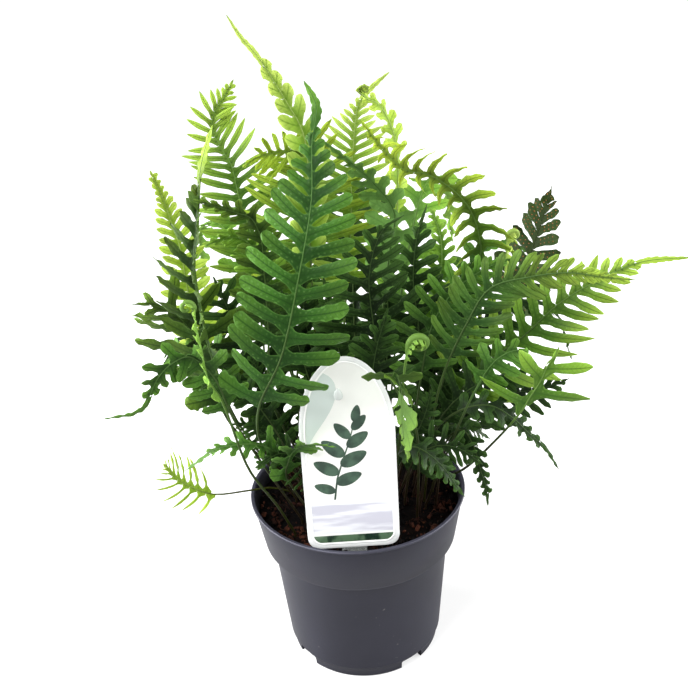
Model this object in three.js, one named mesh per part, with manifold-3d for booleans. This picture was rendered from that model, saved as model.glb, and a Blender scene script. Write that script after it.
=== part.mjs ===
// A polypody fern in a black nursery pot: a thin walled pot, a peat root ball, one solid for
// each frond, and a plastic plant tag. Millimetres, +Z up, origin under the middle of the pot.

import * as THREE from "three";
import { mergeVertices } from "three/addons/utils/BufferGeometryUtils.js";
import Module from "manifold-3d";

const wasm = await Module();
wasm.setup();

// Pot: a 13 cm nursery pot with a straight collar, a foot ring cut by four drain notches and a
// round boss under the floor, level with the foot.
const POT_HEIGHT = 110;
const POT_WALL = 1.3;
const POT_SEGMENTS = 30;
const RIM_RADIUS = 65;
const COLLAR_HEIGHT = 32;
const COLLAR_FOOT_RADIUS = 59;
const BODY_TOP_RADIUS = 54.5;
const BODY_FOOT_RADIUS = 48.5;
const FOOT_HEIGHT = 8;
const FOOT_RADIUS = 46.5;
const FLOOR_HEIGHT = 4;
const BOSS_RADIUS = 12;
const NOTCH_HEIGHT = 6;
const NOTCH_WIDTH = 16;
const NOTCH_DEPTH = 12;
const NOTCH_COUNT = 4;
const FIRST_NOTCH_DEG = -54;

// Peat: it fills the pot to just under the rim and has a bumpy top.
const PEAT_TOP = 100;
const PEAT_BUMP = 1.6;
const PEAT_RINGS = 3;
const SEAT_GAP = 0.35;

// Plant tag: an upright plate with an arched top, and a spike in the peat.
const TAG_WIDTH = 51;
const TAG_HEIGHT = 115;
const TAG_ARCH_HEIGHT = 44;
const TAG_CORNER = 8;
const TAG_THICKNESS = 0.8;
const TAG_SPIKE_WIDTH = 14;
const TAG_SPIKE_LENGTH = 22;
const TAG_SPIKE_POINT = 10;
const TAG_PLACE = [-4, -54.5, 106.5];
const TAG_LEAN_DEG = 4.2;

// Fronds: a four sided stalk that runs on as the rib of a thin blade cut into strap shaped lobes.
const STALK_RADIUS = 1.1;
const STALK_END_RADIUS = 0.8;
const STALK_STEP = 34;
const ROOT_DEPTH = 12;
const COLLAR_RISE = 3;
const BLADE_THICKNESS = 0.72;
const RIB_RISE = 0.75;
const RIB_END_RISE = 0.45;
const WING = 1.9;
const PITCH_FALL = 0.55;
const LOBE_STAGGER = 0.22;
const LOBE_WIDTH = 0.31;
const LOBE_SHOULDER = 0.84;
const BLUNT_SHOULDER = 0.94;
const LOBE_NECK = 0.3;
const LOBE_ARCH = 0.12;
const LOBE_SICKLE = 0.06;
const BASE_ANGLE_DEG = 86;
const TIP_ANGLE_DEG = 50;
const ANGLE_SCATTER_DEG = 8;
const PLAIN_FOLD_DEG = 6;
const LIFT_SCATTER_DEG = 10;
const BASE_SHARE = 0.72;
const LONG_LOBE = 22;
const SHORT_LOBE = 12;
const NO_LOBE = 2;
const COIL_STEPS = 8;
const COIL_SHRINK = 0.62;

// Room that a stalk, a rib or a lobe keeps to everything else, and the bends it may take for it.
const RIB_ROOM = 1.2;
const LOBE_ROOM = 0.45;
const OWN_LOBE_ROOM = 0.1;
const TURNS_DEG = [
  [0, 0], [4, 0], [-4, 0], [0, 3], [0, -3], [8, 0], [-8, 0], [5, 5], [-5, 5], [5, -5], [-5, -5],
  [12, 0], [-12, 0], [0, 9], [0, -9], [12, 8], [-12, 8], [12, -8], [-12, -8], [20, 0], [-20, 0],
  [20, 10], [-20, 10], [28, 0], [-28, 0], [28, 10], [-28, 10],
];
const BENDS = [
  [0, 1], [12, 1], [-12, 1], [24, 1], [-24, 1], [38, 1], [-38, 1],
  [0, 0.75], [20, 0.75], [-20, 0.75], [40, 0.75], [-40, 0.75], [58, 0.8], [-58, 0.8],
  [0, 0.5], [30, 0.5], [-30, 0.5], [60, 0.5], [-60, 0.5], [0, 0.3], [45, 0.3], [-45, 0.3],
];

// Each frond: where it stands in the peat, the points that its rib passes, the bare share of its
// length, the pairs of lobes, the longest lobe, the way its upper face looks, and its green.
// coil rolls the tip up: radius and turns. fold lifts the lobes out of the blade's plane. tail is
// the share of the blade at its tip that has no lobes.
const FRONDS = [
  {
    name: "frond_front_tall", at: [-28, 8], bare: 0.42, pairs: 18, lobe: 31, slim: 0.36, taper: 2.1,
    tail: 0.15, face: [0, -1, 0.35], green: "mid",
    rib: [[-44, -5, 126], [-52, -28, 159], [-48, -56, 201], [-34, -62, 231], [-22, -58, 272],
      [-14, -45, 304], [-12, -30, 328], [-9, -22, 343], [-14, -16, 354]],
  },
  {
    name: "frond_tag_right", at: [34, -24], bare: 0.62, pairs: 6, lobe: 17, slim: 0.3, taper: 3,
    face: [0, 1, 0.3], green: "mid",
    rib: [[35, -30, 142], [33, -38, 172], [20, -52, 210], [22, -61, 217], [24, -68, 209],
      [24, -71, 193], [26, -70, 170]],
  },
  {
    name: "frond_tag_left", at: [-22, -32], bare: 0.45, pairs: 5, lobe: 12, slim: 0.33, taper: 3,
    face: [0, -0.7, 0.7], green: "mid",
    rib: [[-39, -40, 146], [-37, -46, 159], [-33, -52, 170], [-26, -58, 177], [-18, -61, 178],
      [-10, -62, 177]],
  },
  {
    name: "frond_right_young", at: [52, 11], bare: 0.66, pairs: 4, lobe: 29, slim: 0.3, taper: 5,
    face: [0, -0.95, 0.3], green: "light",
    rib: [[64, 0, 116], [81, -22, 151], [91, -38, 178], [94, -43, 189], [98, -48, 201],
      [100, -50, 209], [103, -52, 216], [105, -54, 223]],
  },
  {
    name: "frond_left_dark", at: [-38, 0], bare: 0.38, pairs: 14, lobe: 29, slim: 0.28, tail: 0.18,
    fold: 38, face: [-0.78, -0.62, 0.1], green: "dark",
    rib: [[-68, -2, 162], [-77, -8, 211], [-78, -16, 245], [-77, -22, 268], [-73, -24, 285],
      [-71, -22, 298], [-69, -18, 311], [-67, -13, 319], [-64, -9, 327], [-61, -7, 334]],
  },
  {
    name: "frond_right_bright", at: [40, -8], bare: 0.45, pairs: 15, lobe: 22, slim: 0.27,
    taper: 1.3, tail: 0.08, face: [0, -0.8, 0.6], green: "light",
    rib: [[44, -10, 145], [50, -16, 187], [63, -25, 226], [74, -32, 248], [92, -40, 256],
      [111, -45, 259], [125, -48, 257], [142, -50, 255]],
  },
  {
    name: "frond_right_far", at: [46, 2], bare: 0.32, pairs: 16, lobe: 26, slim: 0.28, taper: 1.4,
    tail: 0.2, face: [-0.1, -0.7, 0.7], green: "mid",
    rib: [[52, 0, 135], [57, -1, 160], [73, -8, 189], [94, -14, 209], [114, -18, 231],
      [134, -20, 244], [154, -20, 252], [181, -20, 253]],
  },
  {
    name: "frond_right_olive", at: [38, 14], bare: 0.42, pairs: 18, lobe: 21, slim: 0.24,
    taper: 1.8, fold: 14, face: [0.2, -0.8, 0.5], green: "light",
    rib: [[40, 14, 145], [52, 8, 201], [74, 4, 250], [73, 0, 265], [69, -3, 278], [63, -6, 288],
      [54, -8, 297], [45, -10, 303], [33, -12, 307], [25, -12, 315], [18, -12, 324], [12, -12, 333]],
  },
  {
    name: "frond_back_spire", at: [-12, 20], bare: 0.5, pairs: 13, lobe: 11, slim: 0.36, taper: 2.5,
    tail: 0.26, face: [0.2, -1, 0.3], green: "yellow",
    rib: [[-16, 18, 140], [-19, 15, 200], [-18, 16, 269], [-17, 18, 320], [-25, 20, 338],
      [-38, 20, 362], [-45, 20, 371], [-51, 20, 382]],
  },
  {
    name: "frond_top_light", at: [4, 34], bare: 0.48, pairs: 16, lobe: 26, slim: 0.25, taper: 3,
    tail: 0.2, face: [0.1, -0.9, 0.4], green: "yellow",
    rib: [[-6, 38, 148], [0, 50, 211], [6, 60, 258], [8, 68, 286], [10, 72, 300], [12, 75, 313],
      [14, 76, 322], [18, 76, 328], [25, 76, 334], [33, 76, 340]],
  },
  {
    name: "frond_top_hook", at: [24, 32], bare: 0.62, pairs: 11, lobe: 10, face: [0.6, -0.5, 0.6],
    green: "light", coil: [3.2, 1.1],
    rib: [[14, 36, 148], [25, 42, 213], [32, 46, 261], [34, 48, 290], [33, 47, 307], [30, 45, 318],
      [24, 42, 329], [18, 39, 333], [14, 37, 337]],
  },
  {
    name: "frond_left_low", at: [-42, 14], bare: 0.45, pairs: 6, lobe: 34, slim: 0.26, taper: 3,
    face: [0, -0.75, 0.65], green: "dark",
    rib: [[-73, 8, 153], [-81, 6, 182], [-85, 3, 205], [-88, -2, 223], [-96, -6, 235],
      [-106, -9, 241], [-115, -10, 242]],
  },
  {
    name: "frond_left_pale", at: [-30, 30], bare: 0.42, pairs: 13, lobe: 21, slim: 0.28, taper: 1.4,
    face: [0.1, -0.95, 0.2], green: "yellow",
    rib: [[-74, 30, 136], [-86, 36, 197], [-93, 40, 228], [-94, 41, 253], [-97, 41, 270],
      [-99, 38, 284], [-101, 34, 295], [-103, 32, 303]],
  },
  {
    name: "frond_left_tail", at: [-34, -22], bare: 0.45, pairs: 12, lobe: 15, slim: 0.3, taper: 2,
    tail: 0.28, face: [-0.1, -0.6, 0.8], green: "mid",
    rib: [[-65, -25, 172], [-74, -30, 207], [-84, -33, 220], [-93, -35, 218], [-101, -36, 211],
      [-106, -37, 203], [-111, -37, 194], [-118, -37, 190], [-126, -37, 189], [-134, -37, 188]],
  },
  {
    name: "crozier_left", at: [-38, -34], bare: 0.6, pairs: 9, lobe: 8, fold: 24,
    face: [-1, -0.3, 0.1], green: "yellow", coil: [3.4, 0.9],
    rib: [[-46, -41, 128], [-58, -49, 158], [-67, -54, 204], [-72, -57, 219], [-73, -58, 236],
      [-74, -58, 249], [-74, -58, 259]],
  },
  {
    name: "frond_right_tail", at: [36, -18], bare: 0.5, pairs: 10, lobe: 12, slim: 0.3, taper: 1.6,
    tail: 0.28, face: [0, -0.5, 0.9], green: "dark",
    rib: [[41, -14, 154], [55, -16, 171], [70, -18, 176], [82, -20, 171], [94, -22, 161],
      [103, -24, 154], [112, -25, 141]],
  },
  {
    name: "frond_middle_broad", at: [10, -4], bare: 0.42, pairs: 12, lobe: 34, tail: 0.06,
    face: [0.1, -0.9, 0.4], green: "dark",
    rib: [[15, -5, 140], [18, -6, 170], [14, -10, 218], [13, -15, 255], [21, -15, 277],
      [32, -15, 284]],
  },
  {
    name: "frond_middle_right", at: [30, 6], bare: 0.42, pairs: 11, lobe: 27, tail: 0.06,
    face: [0, -0.9, 0.4], green: "dark",
    rib: [[36, 9, 140], [41, 11, 165], [45, 11, 207], [44, 12, 237], [48, 15, 262], [55, 20, 278]],
  },
  {
    name: "frond_middle_fan", at: [28, -10], bare: 0.48, pairs: 11, lobe: 25, slim: 0.29,
    face: [0, -0.9, 0.4], green: "mid",
    rib: [[34, -9, 145], [39, -7, 182], [47, -10, 221], [60, -12, 241], [75, -14, 252],
      [88, -15, 257]],
  },
  {
    name: "crozier_middle", at: [20, -22], bare: 0.72, pairs: 13, lobe: 6, fold: 30,
    face: [1, 0, 0], green: "yellow", coil: [4.8, 1.6],
    rib: [[23, -25, 140], [26, -29, 170], [28, -37, 205], [31, -41, 224]],
  },
  {
    name: "frond_rim_left", at: [-40, 7], bare: 0.58, pairs: 8, lobe: 18, slim: 0.18, taper: 2.6,
    stalk: 0.8, face: [0, -0.6, 0.8], green: "light",
    rib: [[-53, 0, 112], [-65, -6, 115], [-85, -15, 120], [-97, -18, 128], [-104, -20, 136],
      [-110, -22, 148]],
  },
  {
    name: "frond_backleft_light", at: [-20, 38], bare: 0.48, pairs: 18, lobe: 28, slim: 0.25,
    taper: 2.6, face: [0.2, -0.95, 0.2], green: "yellow",
    rib: [[-49, 38, 137], [-52, 44, 197], [-53, 50, 234], [-54, 54, 257], [-58, 58, 271],
      [-60, 62, 283], [-62, 65, 295], [-67, 68, 304], [-71, 70, 315], [-69, 71, 324], [-62, 71, 333],
      [-56, 71, 342]],
  },
  {
    name: "frond_backleft_arch", at: [-6, 28], bare: 0.5, pairs: 12, lobe: 24, slim: 0.27, fold: 14,
    face: [0, -0.5, 0.85], green: "dark",
    rib: [[-33, 32, 139], [-24, 40, 217], [-20, 50, 263], [-18, 56, 291], [-22, 54, 303],
      [-30, 47, 305], [-38, 40, 306], [-46, 34, 305], [-52, 30, 302]],
  },
  {
    name: "frond_left_olive", at: [-18, -4], bare: 0.52, pairs: 12, lobe: 23, taper: 1.1,
    face: [0.1, -0.9, 0.4], green: "mid",
    rib: [[-46, -4, 175], [-44, -6, 220], [-43, -9, 257], [-43, -12, 277], [-47, -14, 288],
      [-53, -17, 292], [-60, -20, 296], [-68, -23, 300], [-74, -25, 303]],
  },
  {
    name: "frond_left_inner", at: [-26, 20], bare: 0.52, pairs: 9, lobe: 20, face: [0, -0.8, 0.6],
    green: "light",
    rib: [[-33, 21, 165], [-38, 22, 207], [-44, 14, 243], [-50, 6, 266], [-58, 0, 273],
      [-72, -8, 272]],
  },
  {
    name: "frond_middle_dark", at: [20, 12], bare: 0.55, pairs: 10, lobe: 18, tail: 0.1,
    face: [0.4, 0.7, 0.6], green: "dark",
    rib: [[21, 15, 160], [20, 18, 208], [26, 20, 252], [29, 18, 275], [18, 12, 294], [5, 5, 309],
      [-7, 0, 321]],
  },
  {
    name: "frond_middle_fine", at: [44, 28], bare: 0.6, pairs: 11, lobe: 11, face: [0, -1, 0.3],
    green: "light",
    rib: [[48, 30, 160], [53, 32, 215], [57, 34, 240], [56, 38, 256], [51, 42, 269]],
  },
  {
    name: "frond_right_spore", at: [42, 38], bare: 0.6, pairs: 9, lobe: 21, slim: 0.33, taper: 1.6,
    face: [-0.1, 0.95, 0.3], green: "dark",
    rib: [[50, 40, 128], [75, 46, 167], [96, 56, 195], [108, 64, 211], [116, 70, 224],
      [122, 75, 238], [127, 79, 252], [131, 82, 265]],
  },
  {
    name: "crozier_right", at: [44, 20], bare: 0.75, pairs: 9, lobe: 7, fold: 30, face: [1, 0, 0.2],
    green: "yellow", coil: [3.2, 1],
    rib: [[72, 20, 167], [87, 16, 207], [89, 10, 231], [89, 6, 247], [89, 4, 257], [89, 3, 263]],
  },
  {
    name: "frond_right_small", at: [40, -15], bare: 0.68, pairs: 5, lobe: 16, face: [0, -0.6, 0.8],
    green: "light",
    rib: [[49, -17, 150], [58, -19, 190], [67, -24, 215], [77, -28, 224], [86, -32, 220]],
  },
  {
    name: "frond_right_under", at: [50, 20], bare: 0.28, pairs: 10, lobe: 28, slim: 0.3,
    face: [0, -0.9, 0.45], green: "dark",
    rib: [[60, 20, 130], [68, 18, 148], [82, 17, 158], [97, 15, 162], [110, 12, 166], [125, 9, 174]],
  },
  {
    name: "frond_rim_front", at: [14, -24], bare: 0.5, pairs: 9, lobe: 11, tail: 0.1,
    face: [0, -0.3, 1], green: "dark",
    rib: [[21, -36, 148], [26, -40, 158], [32, -43, 162], [40, -46, 158], [48, -48, 149],
      [53, -50, 141], [58, -51, 133]],
  },
  {
    name: "frond_rim_right", at: [46, -14], bare: 0.45, pairs: 9, lobe: 9, tail: 0.1,
    face: [0.3, -0.3, 0.9], green: "dark",
    rib: [[53, -16, 148], [61, -22, 157], [66, -27, 149], [69, -31, 136], [72, -33, 124],
      [73, -34, 112]],
  },
  {
    name: "frond_low_right", at: [28, -2], bare: 0.3, pairs: 10, lobe: 22, slim: 0.26, tail: 0.1,
    face: [0, -0.5, 0.9], green: "dark",
    rib: [[36, 0, 124], [46, 4, 138], [58, 8, 143], [70, 12, 139], [84, 17, 126]],
  },
  {
    name: "frond_low_left", at: [-20, -14], bare: 0.4, pairs: 11, lobe: 15, slim: 0.27, taper: 1.6,
    tail: 0.25, face: [0, -0.35, 1], green: "dark",
    rib: [[-36, -32, 150], [-48, -40, 170], [-62, -42, 173], [-73, -43, 172], [-81, -43, 167],
      [-91, -42, 160]],
  },
  {
    name: "frond_inner_left", at: [-30, -10], bare: 0.35, pairs: 9, lobe: 25, slim: 0.27,
    face: [0, -0.6, 0.8], green: "dark",
    rib: [[-39, -10, 140], [-50, -10, 168], [-62, -10, 186], [-74, -11, 194], [-86, -13, 188]],
  },
  {
    name: "frond_inner_low_left", at: [-14, -20], bare: 0.4, pairs: 9, lobe: 17, slim: 0.27,
    face: [0, -0.6, 0.8], green: "dark",
    rib: [[-22, -26, 132], [-33, -33, 154], [-46, -38, 164], [-60, -42, 160]],
  },
  {
    name: "frond_inner_middle", at: [4, -16], bare: 0.35, pairs: 9, lobe: 27, face: [0, -0.9, 0.4],
    green: "dark",
    rib: [[6, -20, 140], [9, -25, 180], [14, -29, 215], [21, -31, 240]],
  },
  {
    name: "frond_inner_right", at: [34, -2], bare: 0.35, pairs: 9, lobe: 25, face: [0, -0.7, 0.7],
    green: "dark",
    rib: [[41, -4, 145], [52, -6, 170], [66, -8, 185], [80, -10, 191], [94, -12, 186]],
  },
  {
    name: "frond_inner_low_right", at: [22, -12], bare: 0.35, pairs: 9, lobe: 19, slim: 0.27,
    face: [0, -0.6, 0.8], green: "dark",
    rib: [[28, -16, 122], [36, -22, 143], [48, -27, 153], [60, -30, 152], [72, -31, 142]],
  },
];

// Fronds of the side that looks away: they fan out round the back, lower at the sides, and droop
// at their tips. A step is a share of the reach and a share of the rise.
const BACK_COUNT = 8;
const BACK_FIRST_DEG = 18;
const BACK_LAST_DEG = 166;
const BACK_ROOT = [33, 41];
const BACK_REACH = [78, 122];
const BACK_RISE = [105, 190];
const BACK_SIDE_RISE = 0.55;
const BACK_LOBE = [22, 30];
const BACK_PAIRS = 9;
const BACK_BARE = 0.3;
const BACK_STEPS = [[0.1, 0.35], [0.32, 0.75], [0.62, 1], [0.85, 0.98], [1, 0.7]];
const BACK_SEED = 3;

const GREENS = {
  dark: new THREE.MeshStandardMaterial({ color: 0x1f4a1c, roughness: 0.55, metalness: 0 }),
  mid: new THREE.MeshStandardMaterial({ color: 0x2f6b25, roughness: 0.55, metalness: 0 }),
  light: new THREE.MeshStandardMaterial({ color: 0x5c9a2e, roughness: 0.5, metalness: 0 }),
  yellow: new THREE.MeshStandardMaterial({ color: 0x9cc23c, roughness: 0.5, metalness: 0 }),
};
const POT_PLASTIC = new THREE.MeshStandardMaterial({ color: 0x24252a, roughness: 0.5, metalness: 0 });
const PEAT = new THREE.MeshStandardMaterial({ color: 0x1a120d, roughness: 0.95, metalness: 0 });
const TAG_PLASTIC = new THREE.MeshStandardMaterial({ color: 0xe9ebe6, roughness: 0.3, metalness: 0 });

const UP = new THREE.Vector3(0, 0, 1);
const radians = THREE.MathUtils.degToRad;

// A repeatable number from 0 to 1 for a pair of counts.
function scatter(a, b) {
  const wave = Math.sin(a * 12.9898 + b * 78.233) * 43758.5453;
  return wave - Math.floor(wave);
}

// A closed mesh put together corner by corner.
class Shell {
  constructor() {
    this.corners = [];
    this.faces = [];
  }

  corner(point) {
    this.corners.push(point);
    return this.corners.length - 1;
  }

  face(a, b, c, flipped = false) {
    this.faces.push(flipped ? [a, c, b] : [a, b, c]);
  }

  quad(a, b, c, d, flipped = false) {
    this.face(a, b, c, flipped);
    this.face(a, c, d, flipped);
  }

  geometry() {
    const geometry = new THREE.BufferGeometry();
    const numbers = new Float32Array(this.corners.flatMap((p) => [p.x, p.y, p.z]));
    geometry.setAttribute("position", new THREE.BufferAttribute(numbers, 3));
    geometry.setIndex(this.faces.flat());
    geometry.computeVertexNormals();
    return geometry;
  }

  solid() {
    const mesh = new wasm.Mesh({
      numProp: 3,
      vertProperties: new Float32Array(this.corners.flatMap((p) => [p.x, p.y, p.z])),
      triVerts: new Uint32Array(this.faces.flat()),
    });
    return new wasm.Manifold(mesh);
  }
}

function solidOf(geometry) {
  const bare = geometry.clone();
  bare.deleteAttribute("normal");
  bare.deleteAttribute("uv");
  const merged = mergeVertices(bare, 1e-4);
  const mesh = new wasm.Mesh({
    numProp: 3,
    vertProperties: new Float32Array(merged.attributes.position.array),
    triVerts: new Uint32Array(merged.index.array),
  });
  return new wasm.Manifold(mesh);
}

function geometryOf(solid) {
  const mesh = solid.getMesh();
  const geometry = new THREE.BufferGeometry();
  geometry.setAttribute("position", new THREE.BufferAttribute(new Float32Array(mesh.vertProperties), 3));
  geometry.setIndex(new THREE.BufferAttribute(new Uint32Array(mesh.triVerts), 1));
  geometry.computeVertexNormals();
  return geometry;
}

// Turns a profile of [radius, height] points round the pot's axis.
function turned(profile) {
  const points = profile.map(([radius, height]) => new THREE.Vector2(radius, height));
  const geometry = new THREE.LatheGeometry(points, POT_SEGMENTS);
  geometry.rotateX(Math.PI / 2);
  return geometry;
}

function bodyRadius(height) {
  const share = (height - FOOT_HEIGHT) / (POT_HEIGHT - COLLAR_HEIGHT - FOOT_HEIGHT);
  return THREE.MathUtils.lerp(BODY_FOOT_RADIUS, BODY_TOP_RADIUS, share);
}

function potGeometry() {
  const ledge = POT_HEIGHT - COLLAR_HEIGHT;
  const floorTop = FLOOR_HEIGHT + POT_WALL;
  const profile = [
    [0, 0],
    [BOSS_RADIUS, 0],
    [BOSS_RADIUS + 0.6, FLOOR_HEIGHT],
    [FOOT_RADIUS - 3.4, FLOOR_HEIGHT],
    [FOOT_RADIUS - 3, 0],
    [FOOT_RADIUS, 0],
    [FOOT_RADIUS + 0.6, FOOT_HEIGHT - 1.2],
    [BODY_FOOT_RADIUS, FOOT_HEIGHT],
    [BODY_TOP_RADIUS, ledge],
    [COLLAR_FOOT_RADIUS, ledge + 0.6],
    [RIM_RADIUS - 0.9, POT_HEIGHT - 1.6],
    [RIM_RADIUS, POT_HEIGHT - 1],
    [RIM_RADIUS - 0.4, POT_HEIGHT],
    [RIM_RADIUS - 2.2, POT_HEIGHT],
    [COLLAR_FOOT_RADIUS - POT_WALL, ledge + 0.6 + POT_WALL],
    [BODY_TOP_RADIUS - POT_WALL, ledge + POT_WALL - 0.4],
    [BODY_FOOT_RADIUS - POT_WALL, FOOT_HEIGHT + 0.5],
    [FOOT_RADIUS - POT_WALL, floorTop],
    [0, floorTop],
  ];
  let solid = solidOf(turned(profile));
  for (let count = 0; count < NOTCH_COUNT; count += 1) {
    const notch = new THREE.BoxGeometry(NOTCH_DEPTH, NOTCH_WIDTH, NOTCH_HEIGHT);
    notch.translate(FOOT_RADIUS, 0, NOTCH_HEIGHT / 2 - 0.5);
    notch.rotateZ(radians(FIRST_NOTCH_DEG + (360 / NOTCH_COUNT) * count));
    solid = solid.subtract(solidOf(notch));
  }
  return geometryOf(solid);
}

// Height of the peat at a place: low mounds, and a little lower where it meets the pot.
function peatHeight(x, y) {
  const mounds = Math.sin(x * 0.21 + 1.3) * Math.cos(y * 0.17 - 0.4) + 0.6 * Math.sin(x * 0.09 - y * 0.13);
  return PEAT_TOP + PEAT_BUMP * 0.5 * mounds;
}

function peatGeometry(fronds) {
  const ledge = POT_HEIGHT - COLLAR_HEIGHT;
  const inside = POT_WALL + SEAT_GAP;
  const collarSlope = (RIM_RADIUS - 2.2 - COLLAR_FOOT_RADIUS + POT_WALL) / (COLLAR_HEIGHT - 2);
  const topRadius = COLLAR_FOOT_RADIUS - inside + collarSlope * (PEAT_TOP - ledge - 4);
  const walls = [
    [FOOT_RADIUS - inside - 0.4, FLOOR_HEIGHT + POT_WALL + SEAT_GAP],
    [bodyRadius(FOOT_HEIGHT + 1) - inside, FOOT_HEIGHT + 1.5],
    [BODY_TOP_RADIUS - inside, ledge + POT_WALL - 0.2],
    [COLLAR_FOOT_RADIUS - inside - 0.3, ledge + POT_WALL + 1.4],
    [topRadius, PEAT_TOP],
  ];
  const shell = new Shell();
  const rings = [];
  const ring = (radius, heightAt) => {
    const row = [];
    for (let step = 0; step < POT_SEGMENTS; step += 1) {
      const angle = (step / POT_SEGMENTS) * Math.PI * 2;
      const x = radius * Math.cos(angle);
      const y = radius * Math.sin(angle);
      row.push(shell.corner(new THREE.Vector3(x, y, heightAt(x, y))));
    }
    rings.push(row);
  };
  for (const [radius, height] of walls.slice(0, -1)) {
    ring(radius, () => height);
  }
  for (let step = 0; step < PEAT_RINGS; step += 1) {
    ring(topRadius * (1 - step / PEAT_RINGS), peatHeight);
  }
  for (let row = 0; row + 1 < rings.length; row += 1) {
    for (let step = 0; step < POT_SEGMENTS; step += 1) {
      const next = (step + 1) % POT_SEGMENTS;
      shell.quad(rings[row][step], rings[row][next], rings[row + 1][next], rings[row + 1][step]);
    }
  }
  const under = shell.corner(new THREE.Vector3(0, 0, walls[0][1]));
  const top = shell.corner(new THREE.Vector3(0, 0, peatHeight(0, 0)));
  const last = rings.length - 1;
  for (let step = 0; step < POT_SEGMENTS; step += 1) {
    const next = (step + 1) % POT_SEGMENTS;
    shell.face(under, rings[0][next], rings[0][step]);
    shell.face(top, rings[last][step], rings[last][next]);
  }
  let solid = shell.solid();
  for (const frond of fronds) {
    const side = 2 * (STALK_RADIUS + SEAT_GAP + 0.1);
    const hole = new THREE.BoxGeometry(side, side, ROOT_DEPTH + 6);
    hole.translate(frond.at[0], frond.at[1], PEAT_TOP + 6 - (ROOT_DEPTH + 6) / 2 - SEAT_GAP);
    solid = solid.subtract(solidOf(hole));
  }
  return geometryOf(solid.subtract(solidOf(tagSlot())));
}

// The tag's outline, drawn upright with its lower edge on the X axis and the spike below it.
function tagOutline() {
  const half = TAG_WIDTH / 2;
  const spike = TAG_SPIKE_WIDTH / 2;
  const outline = new THREE.Shape();
  outline.moveTo(0, -TAG_SPIKE_LENGTH);
  outline.lineTo(spike, -TAG_SPIKE_LENGTH + TAG_SPIKE_POINT);
  outline.lineTo(spike, 0);
  outline.lineTo(half - TAG_CORNER, 0);
  outline.quadraticCurveTo(half, 0, half, TAG_CORNER);
  outline.lineTo(half, TAG_HEIGHT - TAG_ARCH_HEIGHT);
  outline.absellipse(0, TAG_HEIGHT - TAG_ARCH_HEIGHT, half, TAG_ARCH_HEIGHT, 0, Math.PI, false);
  outline.lineTo(-half, TAG_CORNER);
  outline.quadraticCurveTo(-half, 0, -half + TAG_CORNER, 0);
  outline.lineTo(-spike, 0);
  outline.lineTo(-spike, -TAG_SPIKE_LENGTH + TAG_SPIKE_POINT);
  outline.closePath();
  return outline;
}

function standUp(geometry) {
  geometry.rotateX(Math.PI / 2 - radians(TAG_LEAN_DEG));
  geometry.translate(...TAG_PLACE);
  return geometry;
}

function tagGeometry() {
  const plate = new THREE.ExtrudeGeometry(tagOutline(), {
    depth: TAG_THICKNESS,
    bevelEnabled: false,
    curveSegments: 10,
  });
  plate.translate(0, 0, -TAG_THICKNESS / 2);
  return geometryOf(solidOf(standUp(plate)));
}

function tagSlot() {
  const slot = new THREE.BoxGeometry(
    TAG_SPIKE_WIDTH + 2 * SEAT_GAP,
    TAG_SPIKE_LENGTH + SEAT_GAP,
    TAG_THICKNESS + 2 * SEAT_GAP,
  );
  slot.translate(0, -(TAG_SPIKE_LENGTH + SEAT_GAP) / 2, 0);
  return standUp(slot);
}

// Points of a rolled up tip, which starts along the rib and curls towards the blade's upper face.
function coilPoints(end, along, face, [radius, turns]) {
  const inward = face.clone().addScaledVector(along, -face.dot(along)).normalize();
  const middle = end.clone().addScaledVector(inward, radius);
  const points = [];
  const steps = Math.round(turns * COIL_STEPS);
  for (let step = 1; step <= steps; step += 1) {
    const angle = (step / COIL_STEPS) * Math.PI * 2;
    const reach = radius * (1 - COIL_SHRINK * (step / steps));
    const point = middle.clone().addScaledVector(inward, -reach * Math.cos(angle));
    points.push(point.addScaledVector(along, reach * Math.sin(angle)));
  }
  return points;
}

// The turn of a whole frond about its root: a swing about the upright, then a lean further out.
function turnOf(frond, [swingDeg, leanDeg]) {
  const tip = frond.rib[frond.rib.length - 1];
  const outward = new THREE.Vector3(tip[0] - frond.at[0], tip[1] - frond.at[1], 0).normalize();
  const lean = new THREE.Quaternion().setFromAxisAngle(UP.clone().cross(outward), radians(leanDeg));
  return new THREE.Quaternion().setFromAxisAngle(UP, radians(swingDeg)).multiply(lean);
}

function ribCurve(frond, turn) {
  const root = new THREE.Vector3(frond.at[0], frond.at[1], PEAT_TOP + COLLAR_RISE);
  const points = [root];
  for (const place of frond.rib) {
    const offset = new THREE.Vector3(...place).sub(root);
    points.push(offset.applyQuaternion(turn).add(root));
  }
  if (frond.coil) {
    const end = points[points.length - 1];
    const along = end.clone().sub(points[points.length - 2]).normalize();
    const face = new THREE.Vector3(...frond.face).applyQuaternion(turn);
    points.push(...coilPoints(end, along, face, frond.coil));
  }
  return new THREE.CatmullRomCurve3(points);
}

// Places along the blade, from 0 at its foot to 1 at its tip: the pairs come closer to the tip.
function bladeMarks(pairs) {
  const gaps = [];
  for (let pair = 0; pair <= pairs; pair += 1) {
    gaps.push(1 - PITCH_FALL * (pair / pairs));
  }
  const total = gaps.reduce((sum, gap) => sum + gap, 0);
  const marks = [0];
  for (const gap of gaps) {
    marks.push(marks[marks.length - 1] + gap / total);
  }
  return marks;
}

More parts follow.
